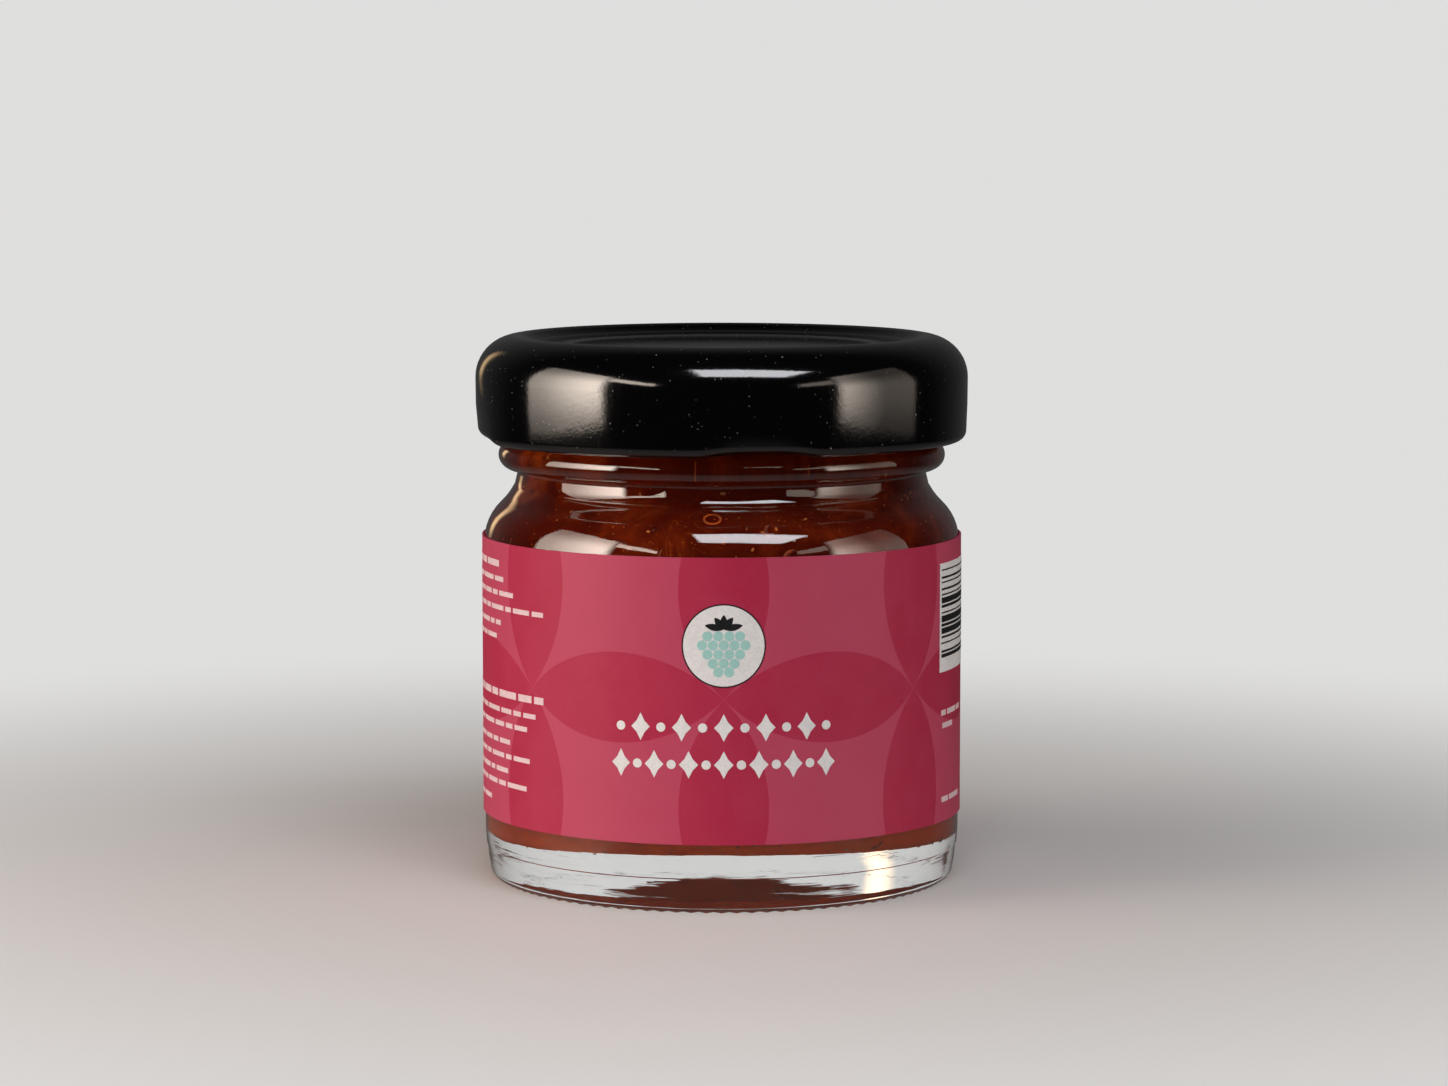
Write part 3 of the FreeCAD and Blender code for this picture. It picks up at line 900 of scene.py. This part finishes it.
def scatter_tree():
    """A geometry tree that scatters a shape over a surface, turned at random; returns it and its inputs'
    identifiers by name."""
    tree = bpy.data.node_groups.new("scattered", "GeometryNodeTree")
    identifiers = new_inputs(tree, (
        ("Surface", "NodeSocketGeometry", None), ("Shape", "NodeSocketObject", None),
        ("Density", FLOAT, 1.0), ("Smallest", FLOAT, 0.5 * MM), ("Largest", FLOAT, 1.0 * MM),
        ("Proud", FLOAT, 0.0), ("Seed", "NodeSocketInt", 1), ("Finish", "NodeSocketMaterial", None),
    ))
    tree.interface.new_socket("Bits", in_out="OUTPUT", socket_type="NodeSocketGeometry")
    given = node(tree, "NodeGroupInput").outputs
    points = node(tree, "GeometryNodeDistributePointsOnFaces", {
        "Mesh": given["Surface"], "Density": given["Density"], "Seed": given["Seed"]}).outputs
    lift = node(tree, "ShaderNodeVectorMath",
                {0: points["Normal"], "Scale": given["Proud"]}, operation="SCALE").outputs[0]
    raised = node(tree, "GeometryNodeSetPosition",
                  {"Geometry": points["Points"], "Offset": lift}).outputs[0]
    spin = node(tree, "FunctionNodeRandomValue", {"Min": 0.0, "Max": math.tau, "Seed": given["Seed"]})
    spin = [socket for socket in spin.outputs if socket.type == "VALUE"][0]
    turn = node(tree, "FunctionNodeAxisAngleToRotation", {"Axis": (0, 0, 1), "Angle": spin}).outputs[0]
    aligned = node(tree, "FunctionNodeRotateRotation", {"Rotation": points["Rotation"], "Rotate By": turn},
                   rotation_space="LOCAL").outputs[0]
    size_seed = maths(tree, "ADD", given["Seed"], SEED_STEP)
    pick = node(tree, "FunctionNodeRandomValue", {"Seed": size_seed}).outputs[1]
    spread = maths(tree, "SUBTRACT", given["Largest"], given["Smallest"])
    size = maths(tree, "MULTIPLY_ADD", maths(tree, "POWER", pick, MOSTLY_SMALL), spread, given["Smallest"])
    shape = node(tree, "GeometryNodeObjectInfo", {"Object": given["Shape"]}).outputs["Geometry"]
    bits = node(tree, "GeometryNodeInstanceOnPoints", {
        "Points": raised, "Instance": shape, "Rotation": aligned, "Scale": size}).outputs[0]
    real = node(tree, "GeometryNodeRealizeInstances", {"Geometry": bits}).outputs[0]
    done = node(tree, "GeometryNodeSetMaterial", {"Geometry": real, "Material": given["Finish"]}).outputs[0]
    node(tree, "NodeGroupOutput", {"Bits": done})
    return tree, identifiers


def scattered(name, shape, finish, number, sizes, proud, seed):
    """Scatter about so many copies of a shape over the dip's outer surface, as one plain mesh."""
    tree, identifiers = scatter_tree()
    host = stood(name, bpy.data.objects["dip"].data.copy())
    area = sum(face.area for face in host.data.polygons)
    modifier = host.modifiers.new("scatter", "NODES")
    modifier.node_group = tree
    values = {
        "Shape": shape, "Density": number / area, "Smallest": sizes[0], "Largest": sizes[1],
        "Proud": proud, "Seed": seed, "Finish": finish,
    }
    for label, value in values.items():
        modifier[identifiers[label]] = value
    plain_mesh(host, modifier)
    bpy.data.objects.remove(shape)
    settled(host, "red_dip", None)


class JAR_OT_seeds(bpy.types.Operator):
    """Scatter small amber seeds where the dip meets the glass"""
    bl_idname = "jar.seeds"
    bl_label = "Seeds"

    def execute(self, context):
        settings = context.scene.jar_dip
        shape = grain_shape("seed_shape", (1.0, 0.6, 0.4), curve=0.25)
        finish = bit_finish("fruit_seed", settings.seed_colour, 0.4, 0.40)
        scattered("seeds", shape, finish, settings.seeds, SEED_SIZES, 0.02 * MM, 11)
        return {"FINISHED"}


class JAR_OT_bits(bpy.types.Operator):
    """Scatter shreds of fruit where the dip meets the glass"""
    bl_idname = "jar.bits"
    bl_label = "Fruit bits"

    def execute(self, context):
        settings = context.scene.jar_dip
        shape = grain_shape("shred_shape", (1.0, 0.22, 0.10), lumps=0.7, curve=0.9, rings=10)
        finish = bit_finish("fruit_shred", settings.bit_colour, 0.5, 0.25)
        scattered("fruit_bits", shape, finish, settings.bits, BIT_SIZES, 0.0, 23)
        return {"FINISHED"}


class JAR_OT_bubbles(bpy.types.Operator):
    """Scatter air bubbles where the dip meets the glass, with a ring of painted light for a large one at
    the front
    """
    bl_idname = "jar.bubbles"
    bl_label = "Bubbles"

    def execute(self, context):
        settings = context.scene.jar_dip
        shape = grain_shape("bubble_shape", (1.0, 1.0, 0.8), rings=9, sides=14)
        scattered("bubbles", shape, bubble_finish(), settings.bubbles, BUBBLE_SIZES, 0.03 * MM, 37)
        # The ring is painted light: an amber solid for the bright ring at a large bubble's edge, with no
        # bubble drawn inside it.
        rim = finished("bubble_rim", painted_ring_mesh(settings.big_bubble, 0.8 * settings.big_bubble))
        settled(rim, "red_dip", bit_finish("bubble_edge", settings.amber, 0.25, 0.5))
        return {"FINISHED"}


# ---------------------------------------------------------------- label

LABEL_COLUMNS = 300
LABEL_ROWS = 26
LABEL_WAVE = 0.012 * MM
WAVE_RATE = 4
WAVE_STRETCH = 60
PAPER = 0.19 * MM
SHARP_PAPER = 40.0


class JAR_OT_label(bpy.types.Operator):
    """Make the paper label that wraps the straight wall"""
    bl_idname = "jar.label"
    bl_label = "Label"

    def execute(self, context):
        settings = context.scene.jar_label
        bm = bmesh.new()
        wrap = bm.loops.layers.uv.new("wrap")
        span = math.tau - settings.gap / LABEL_RADIUS
        height = LABEL_TOP - LABEL_BOTTOM
        grid = []
        for column in range(LABEL_COLUMNS + 1):
            bearing = span * (column / LABEL_COLUMNS - 0.5)
            line = []
            for row in range(LABEL_ROWS + 1):
                up = LABEL_BOTTOM + height * row / LABEL_ROWS
                place = Vector((math.sin(bearing), math.cos(bearing), up * WAVE_STRETCH)) * WAVE_RATE
                radius = LABEL_RADIUS + LABEL_WAVE * noise.noise(place)
                line.append(bm.verts.new(spun(radius, bearing, up)))
            grid.append(line)
        for column in range(LABEL_COLUMNS):
            for row in range(LABEL_ROWS):
                corners = ((column, row), (column + 1, row), (column + 1, row + 1), (column, row + 1))
                face = bm.faces.new([grid[c][r] for c, r in corners])
                for loop, (c, r) in zip(face.loops, corners):
                    loop[wrap].uv = (c / LABEL_COLUMNS, r / LABEL_ROWS)
        piece = stood("paper_label", meshed("label", bm))
        piece.data.shade_smooth()
        solidify = piece.modifiers.new("thickness", "SOLIDIFY")
        solidify.thickness = PAPER
        solidify.offset = -1
        plain_mesh(piece, solidify)
        piece.data.set_sharp_from_angle(angle=math.radians(SHARP_PAPER))
        settled(piece, "rose_paper", paper_finish(settings), "label")
        return {"FINISHED"}


INK = 0.012 * MM
BURIED = 0.02 * MM
STRIP = 0.5 * MM


def printed(name, shapes, finish, layer):
    """Flat shapes of (across, up) points, laid round the label as one thin closed mesh of ink."""
    bm = bmesh.new()
    for shape in shapes:
        bm.faces.new([bm.verts.new((across + PRINT_CENTRE, 0, up)) for across, up in shape])
    bmesh.ops.triangulate(bm, faces=bm.faces)
    places = [vertex.co.x for vertex in bm.verts]
    for cut in range(math.floor(min(places) / STRIP), math.ceil(max(places) / STRIP) + 1):
        bmesh.ops.bisect_plane(bm, geom=bm.verts[:] + bm.edges[:] + bm.faces[:],
                               plane_co=(cut * STRIP, 0, 0), plane_no=(1, 0, 0))
    raised = bmesh.ops.extrude_face_region(bm, geom=bm.faces[:])["geom"]
    raised = {item for item in raised if isinstance(item, bmesh.types.BMVert)}
    for vertex in bm.verts:
        radius = LABEL_RADIUS + (INK * (layer + 1) if vertex in raised else -BURIED)
        vertex.co = Vector(spun(radius, vertex.co.x / LABEL_RADIUS, vertex.co.z))
    settled(finished(name, bm, SHARP_PAPER), "rose_paper", finish)


def bar(left, bottom, width, height):
    """A plain bar by its lower left corner."""
    right, top = left + width, bottom + height
    return [(left, bottom), (right, bottom), (right, top), (left, top)]


def dashes(left, right, bottom, height, first):
    """A row of short bars of uneven length from left to right."""
    bars = []
    while right - left > DASHES[0]:
        width = min(DASHES[first % len(DASHES)], right - left)
        bars.append(bar(left, bottom, width, height))
        left += width + DASH_GAP
        first += 1
    return bars


def disc(across, up, radius, corners):
    """A round spot."""
    return [around(across, up, radius, 360 * corner / corners) for corner in range(corners)]


def lozenge(across, up, width, height, hollow=0.42):
    """A diamond with slightly hollow sides."""
    points = []
    for x, y, next_x, next_y in ((1, 0, 0, 1), (0, 1, -1, 0), (-1, 0, 0, -1), (0, -1, 1, 0)):
        points.append((across + x * width / 2, up + y * height / 2))
        points.append((across + (x + next_x) * hollow * width / 2, up + (y + next_y) * hollow * height / 2))
    return points


def leaf(across, up, size, width, turn, steps=10):
    """A pointed leaf that grows from a point, turned so many degrees from level."""
    sides = [(step / steps, 1) for step in range(steps)] + [(1 - step / steps, -1) for step in range(steps)]
    outline = [(size * along, side * width / 2 * math.sin(math.pi * along) ** LEAF_FULLNESS)
               for along, side in sides]
    cos, sin = math.cos(math.radians(turn)), math.sin(math.radians(turn))
    return [(across + x * cos - y * sin, up + x * sin + y * cos) for x, y in outline]


BADGE_HEIGHT = 24.5 * MM
BADGE_RADIUS = 3.78 * MM
BADGE_LINE = 0.13 * MM
BADGE_SIDES = 96
SPOT_SIDES = 20
GRAIN = 0.60 * MM
GRAIN_PITCH = (1.62, 1.95)
GRAIN_RADIUS = 0.76
# How many grains a row has, and its height.
GRAIN_ROWS = ((4, 0.75), (5, 0.05), (4, -0.65), (3, -1.35), (2, -2.02))
LEAF_ROOT = 1.5 * MM
LEAF_WIDTH = 0.62 * MM
LEAF_FULLNESS = 0.8
# The angle of each leaf and its length in millimetres.
LEAVES = ((12, 1.75), (52, 1.35), (90, 1.3), (128, 1.35), (168, 1.75))
ORNAMENT_ROWS = ((17.1 * MM, 11), (13.75 * MM, 13))
ORNAMENT_HALF = 9.5 * MM
ORNAMENT_DOT = 0.42 * MM
ORNAMENT_DIAMOND = (1.75 * MM, 2.5 * MM)
DASHES = (1.1 * MM, 2.7 * MM, 1.6 * MM, 3.4 * MM, 2.1 * MM, 1.3 * MM, 3.0 * MM)
DASH_GAP = 0.42 * MM
NOTES_LEFT = -36.0 * MM
# Height, right end and thickness of each row at the left edge, in millimetres.
NOTE_LINES = (
    (30.45, -25.0, 0.6), (29.05, -23.6, 0.45), (27.75, -23.0, 0.45), (26.4, -16.9, 0.45),
    (25.0, -25.6, 0.45), (23.7, -26.6, 0.45), (18.5, -18.2, 0.65), (16.95, -19.4, 0.45),
    (15.65, -20.7, 0.45), (14.1, -23.7, 0.45), (12.75, -19.2, 0.45), (11.4, -22.7, 0.45),
    (10.15, -20.1, 0.45), (8.5, -28.0, 0.45),
)
# Height, left end and width of each row at the right edge, in millimetres.
SIDE_LINES = ((16.6, 25.0, 7.5), (15.4, 25.3, 4.0), (8.5, 25.2, 6.0))
SIDE_LINE = 0.5
PANEL = (24.6 * MM, 20.4 * MM, 16.0 * MM, 10.1 * MM)
PANEL_EDGE = 0.35 * MM
PANEL_FOOT = 1.35 * MM
PANEL_BARS = (5, 2, 3, 9, 2, 6, 3, 3, 8, 2, 4, 2, 9, 3, 2, 6, 4, 2, 8, 3, 2, 5, 3, 7, 2, 4, 3, 8, 2, 3)


class JAR_OT_print(bpy.types.Operator):
    """Print a badge, two rows of ornament, rows of short bars and a striped panel on the label"""
    bl_idname = "jar.print"
    bl_label = "Print"

    def execute(self, context):
        settings = context.scene.jar_label
        white = ink_finish("white_ink", settings.ink)
        dark = ink_finish("dark_ink", settings.dark_ink)
        mint = ink_finish("mint_ink", settings.mint)

        printed("badge_edge", [disc(0, BADGE_HEIGHT, BADGE_RADIUS, BADGE_SIDES)], dark, 1)
        printed("badge_field", [disc(0, BADGE_HEIGHT, BADGE_RADIUS - BADGE_LINE, BADGE_SIDES)], white, 2)
        fruit = []
        for many, up in GRAIN_ROWS:
            for spot in range(many):
                across = (spot - (many - 1) / 2) * GRAIN * GRAIN_PITCH[0]
                fruit.append(disc(across, BADGE_HEIGHT + up * GRAIN * GRAIN_PITCH[1], GRAIN * GRAIN_RADIUS,
                                  SPOT_SIDES))
        printed("badge_fruit", fruit, mint, 3)
        for number, (turn, size) in enumerate(LEAVES):
            outline = leaf(0, BADGE_HEIGHT + LEAF_ROOT, size * MM, LEAF_WIDTH, turn)
            printed(f"badge_leaf_{number}", [outline], dark, 3)

        marks = []
        for row, (up, many) in enumerate(ORNAMENT_ROWS):
            for mark in range(many):
                across = ORNAMENT_HALF * (2 * mark / (many - 1) - 1)
                if mark % 2 == row:
                    marks.append(disc(across, up, ORNAMENT_DOT, SPOT_SIDES))
                else:
                    marks.append(lozenge(across, up, *ORNAMENT_DIAMOND))
        printed("ornament", marks, white, 1)

        pale = ink_finish("pale_ink", settings.pale_ink)
        lines = []
        for number, (up, right, tall) in enumerate(NOTE_LINES):
            lines += dashes(NOTES_LEFT, right * MM, (up - tall / 2) * MM, tall * MM, number)
        for number, (up, left, width) in enumerate(SIDE_LINES):
            bottom = (up - SIDE_LINE / 2) * MM
            lines += dashes(left * MM, (left + width) * MM, bottom, SIDE_LINE * MM, number)
        printed("notes", lines, pale, 1)

        left, bottom, width, height = PANEL
        printed("panel", [bar(*PANEL)], white, 1)
        unit = (height - (PANEL_EDGE + PANEL_FOOT)) / sum(PANEL_BARS)
        bars, up = [], bottom + PANEL_FOOT
        for number, tall in enumerate(PANEL_BARS):
            if number % 2 == 0:
                bars.append(bar(left + PANEL_EDGE, up, width - 2 * PANEL_EDGE, tall * unit))
            up += tall * unit
        printed("panel_bars", bars, dark, 2)
        return {"FINISHED"}


# ---------------------------------------------------------------- cap

SHEET = 0.25 * MM
CAP_CORNER = 3.9 * MM
CAP_SLOPE = math.radians(15)
CREST_ROUND = 1.3 * MM
CREST_LEAN = math.radians(40)
CURL_ROUND = 0.95 * MM
CURL_END = 65
SKIRT_TAPER = 0.10 * MM
PANEL_DEPTH = 1.0 * MM
# Radius and depth of the steps of the recessed panel, in millimetres.
PANEL_STEPS = (
    (14.2, 1.0), (14.4, 0.99), (14.9, 0.89), (15.1, 0.87), (17.3, 0.76), (17.6, 0.72), (17.85, 0.62),
)
SEAL_RADIUS = 17.55 * MM
UNDER_STEP = (14.4 * MM, 0.75 * MM)
CAP_DETAIL = (0.9 * MM, math.radians(7))
CAP_SIDES = 288
LUG_REACH = math.radians(15)
LUG_SWEEP = math.radians(24)
LUG_STEPS = 12
LUG_PAD = [(20.25 * MM, 43.1 * MM), (20.25 * MM, 42.25 * MM), (20.75 * MM, 41.9 * MM),
           (21.4 * MM, 41.9 * MM), (21.4 * MM, 43.35 * MM), (20.5 * MM, 43.35 * MM)]
FOLD_HEIGHT = 2.4 * MM
FOLD_TUCK = 0.22 * MM
FOLD_RADIUS = 20.5 * MM


def cap_outline():
    """The steel sheet from the middle of the panel, over the edge, round the roll and back inside."""
    crest = CAP_RADIUS - CAP_CORNER
    corner = CAP_TOP - CAP_CORNER
    inside = CAP_CORNER - SHEET
    seal_edge = crest + inside * math.sin(CAP_SLOPE)
    skirt = CAP_RADIUS - SKIRT_TAPER
    curl = (skirt - CURL_ROUND, CAP_BOTTOM + CURL_ROUND)
    roll = CURL_ROUND - SHEET
    return [
        (0.0, CAP_TOP - PANEL_DEPTH, LINE),
        *((radius * MM, CAP_TOP - depth * MM, LINE) for radius, depth in PANEL_STEPS),
        (crest - CREST_ROUND * math.sin(CREST_LEAN), CAP_TOP - CREST_ROUND * (1 - math.cos(CREST_LEAN)),
         bent(CREST_ROUND, "right")),
        (crest, CAP_TOP, SMOOTH),
        (CAP_RADIUS, corner, SMOOTH),
        (skirt, curl[1], SMOOTH),
        (curl[0], CAP_BOTTOM, SMOOTH),
        (curl[0] - CURL_ROUND, curl[1], SMOOTH),
        (*around(*curl, CURL_ROUND, CURL_END), LINE),
        (*around(*curl, roll, CURL_END), bent(roll, "left")),
        (curl[0] - roll, curl[1], SMOOTH),
        (curl[0], CAP_BOTTOM + SHEET, SMOOTH),
        (skirt - SHEET, curl[1], LINE),
        (CAP_RADIUS - SHEET, corner, SMOOTH),
        (seal_edge, corner + inside * math.cos(CAP_SLOPE), LINE),
        (seal_edge, RIM_HEIGHT, LINE),
        (SEAL_RADIUS, RIM_HEIGHT, LINE),
        (SEAL_RADIUS, CAP_TOP - UNDER_STEP[1] - SHEET, LINE),
        (UNDER_STEP[0], CAP_TOP - PANEL_DEPTH - SHEET, LINE),
        (0.0, CAP_TOP - PANEL_DEPTH - SHEET, LINE),
    ]


class JAR_OT_cap(bpy.types.Operator):
    """Make the black twist-off cap, whose rolled edge rises where its lugs are folded in"""
    bl_idname = "jar.cap"
    bl_label = "Cap"

    def execute(self, context):
        settings = context.scene.jar_cap

        def folded(bearing, radius, height):
            """Lift and tuck the rolled edge at each lug."""
            low = max(0.0, 1 - (height - CAP_BOTTOM) / FOLD_HEIGHT)
            if radius < FOLD_RADIUS or low <= 0:
                return radius, height
            away = (bearing - FIRST_LUG + math.pi / LUGS) % (math.tau / LUGS) - math.pi / LUGS
            near = max(0.0, 1 - (abs(away) / LUG_REACH) ** 2)
            fold = near * near * (3 - 2 * near) * low
            return radius - FOLD_TUCK * fold, height + settings.lug_lift * fold

        bm = bmesh.new()
        turned(bm, traced(cap_outline(), *CAP_DETAIL), CAP_SIDES, folded)
        for lug in range(LUGS):
            start = FIRST_LUG - LUG_SWEEP / 2 + math.tau * lug / LUGS
            swept(bm, LUG_PAD, start, LUG_SWEEP, 0.0, LUG_STEPS, 1)
        settled(finished("cap", bm), "black_lacquer", lacquer_finish(settings), "lid")
        return {"FINISHED"}


# ---------------------------------------------------------------- stage

WARM_LIGHT = (1.0, 0.86, 0.74)
COOL_LIGHT = (0.95, 0.955, 1.0)
AMBER_LIGHT = (1.0, 0.66, 0.34)
SIDE_DISTANCE = 0.30
# Name, side, the two ends along Y, the two heights, radiance, colour and fades.
SIDE_LAMPS = (
    ("left_panel", -1, -0.230, 0.040, 0.0, 0.255, 9.2, WARM_LIGHT,
     (("Y", -0.20, 0.040, 1.0, 0.28), ("Y", -0.230, -0.190, 0.0, 1.0),
      ("Z", 0.0, 0.045, 0.30, 1.0), ("Z", 0.12, 0.25, 1.0, 0.45))),
    ("left_arm", -1, -0.498, -0.222, 0.183, 0.237, 5.0, WARM_LIGHT, ()),
    ("right_panel", 1, -0.230, 0.042, 0.0, 0.25, 4.1, WARM_LIGHT,
     (("Y", -0.22, -0.05, 1.0, 0.16), ("Y", -0.230, -0.195, 0.0, 1.0),
      ("Z", 0.0, 0.04, 0.35, 1.0), ("Z", 0.07, 0.20, 1.0, 0.4))),
    ("right_arm", 1, -0.413, -0.218, 0.138, 0.205, 1.1, WARM_LIGHT, ()),
    ("left_rim", -1, 0.44, 0.68, 0.0, 0.32, 1.5, AMBER_LIGHT,
     (("Y", 0.44, 0.55, 0.0, 1.0), ("Y", 0.57, 0.68, 1.0, 0.0),
      ("Z", 0.0, 0.08, 0.2, 1.0), ("Z", 0.16, 0.32, 1.0, 0.0))),
)
TOP_PLACE = Vector((0.105, -0.353, 0.445))
TOP_SIZE = (0.385, 0.235)
TOP_RADIANCE = 6.0
FLOOR_RADIUS = 20.0
FLOOR_SIDES = 96
CAMERA_ACROSS = 0.22 * MM
SENSOR_WIDTH = 36.0
NEAR_CLIP = 0.01


def soft_lamp(name, place, facing, size, radiance, tone, fades=()):
    """A rectangular soft lamp of a given radiance. Each fade is an axis, two places along it and two
    levels: the lamp's brightness goes from one level to the other between them."""
    lamp = bpy.data.lights.new(name, "AREA")
    lamp.shape = "RECTANGLE"
    lamp.size, lamp.size_y = size
    lamp.energy = radiance * math.pi * size[0] * size[1]
    lamp.color = tone
    tree = bare_tree(lamp)
    spot = parts(tree, node(tree, "ShaderNodeNewGeometry").outputs["Position"])
    level = 1.0
    for axis, start, end, first, last in fades:
        level = times(tree, between(tree, spot[axis], start, end, first, last), level)
    glow = node(tree, "ShaderNodeEmission", {"Strength": level})
    node(tree, "ShaderNodeOutputLight", {"Surface": glow.outputs[0]})
    thing = stood(name, lamp)
    thing.location = place
    thing.rotation_euler = (Vector(facing) - Vector(place)).to_track_quat("-Z", "Y").to_euler()


def side_lamp(name, side, ahead, behind, low, high, radiance, tone, fades):
    """An upright soft lamp at one side of the jar, between two places along Y and two heights."""
    middle = (side * SIDE_DISTANCE, (ahead + behind) / 2, (low + high) / 2)
    facing = (0, middle[1], middle[2])
    soft_lamp(name, middle, facing, (behind - ahead, high - low), radiance, tone, fades)


class JAR_OT_stage(bpy.types.Operator):
    """Set the pale floor, the soft lamps, the background and the camera"""
    bl_idname = "jar.stage"
    bl_label = "Stage"

    def execute(self, context):
        settings = context.scene.jar_stage
        scene = context.scene
        bm = bmesh.new()
        bmesh.ops.create_circle(bm, cap_ends=True, segments=FLOOR_SIDES, radius=FLOOR_RADIUS)
        floor = stood("floor", meshed("floor", bm))
        floor.data.materials.append(floor_finish(settings))

        for lamp in SIDE_LAMPS:
            side_lamp(*lamp)
        soft_lamp("top_panel", TOP_PLACE, TOP_PLACE - Vector((0, 0, 1)), TOP_SIZE, TOP_RADIANCE, COOL_LIGHT)

        world = bpy.data.worlds.new("backdrop")
        tree = bare_tree(world)
        level = backdrop_level(tree, node(tree, "ShaderNodeTexCoord").outputs["Generated"])
        sky = node(tree, "ShaderNodeBackground", {"Color": (*settings.backdrop, 1), "Strength": level})
        node(tree, "ShaderNodeOutputWorld", {"Surface": sky.outputs[0]})
        scene.world = world

        camera = stood("camera", bpy.data.cameras.new("camera"))
        camera.data.lens = settings.lens
        camera.data.sensor_width = SENSOR_WIDTH
        camera.data.clip_start = NEAR_CLIP
        camera.location = (CAMERA_ACROSS, -settings.distance, settings.height)
        camera.rotation_euler = (math.pi / 2 - settings.pitch, 0, 0)
        scene.camera = camera
        scene.view_settings.view_transform = "Standard"
        return {"FINISHED"}


# ---------------------------------------------------------------- sidebar

SETTINGS = (
    ("jar_glass", GlassSettings), ("jar_dip", DipSettings), ("jar_label", LabelSettings),
    ("jar_cap", CapSettings), ("jar_stage", StageSettings),
)
OPERATORS = (
    JAR_OT_glass, JAR_OT_dip, JAR_OT_seeds, JAR_OT_bits, JAR_OT_bubbles, JAR_OT_label, JAR_OT_print,
    JAR_OT_cap, JAR_OT_stage,
)


class JAR_PT_sidebar(bpy.types.Panel):
    """Lists the pieces of the jar and their settings"""
    bl_idname = "JAR_PT_sidebar"
    bl_label = "Jar of fruit dip"
    bl_space_type = "VIEW_3D"
    bl_region_type = "UI"
    bl_category = "Jar"

    def draw(self, context):
        for name, group in SETTINGS:
            box = self.layout.box()
            settings = getattr(context.scene, name)
            for prop in group.__annotations__:
                box.prop(settings, prop)
        for operator in OPERATORS:
            self.layout.operator(operator.bl_idname)


def register():
    for name, group in SETTINGS:
        bpy.utils.register_class(group)
        setattr(bpy.types.Scene, name, PointerProperty(type=group))
    for operator in OPERATORS:
        bpy.utils.register_class(operator)
    bpy.utils.register_class(JAR_PT_sidebar)


def unregister():
    bpy.utils.unregister_class(JAR_PT_sidebar)
    for operator in reversed(OPERATORS):
        bpy.utils.unregister_class(operator)
    for name, group in reversed(SETTINGS):
        delattr(bpy.types.Scene, name)
        bpy.utils.unregister_class(group)


def main():
    register()
    for operator in OPERATORS:
        group, action = operator.bl_idname.split(".")
        getattr(getattr(bpy.ops, group), action)()


if __name__ == "__main__":
    main()
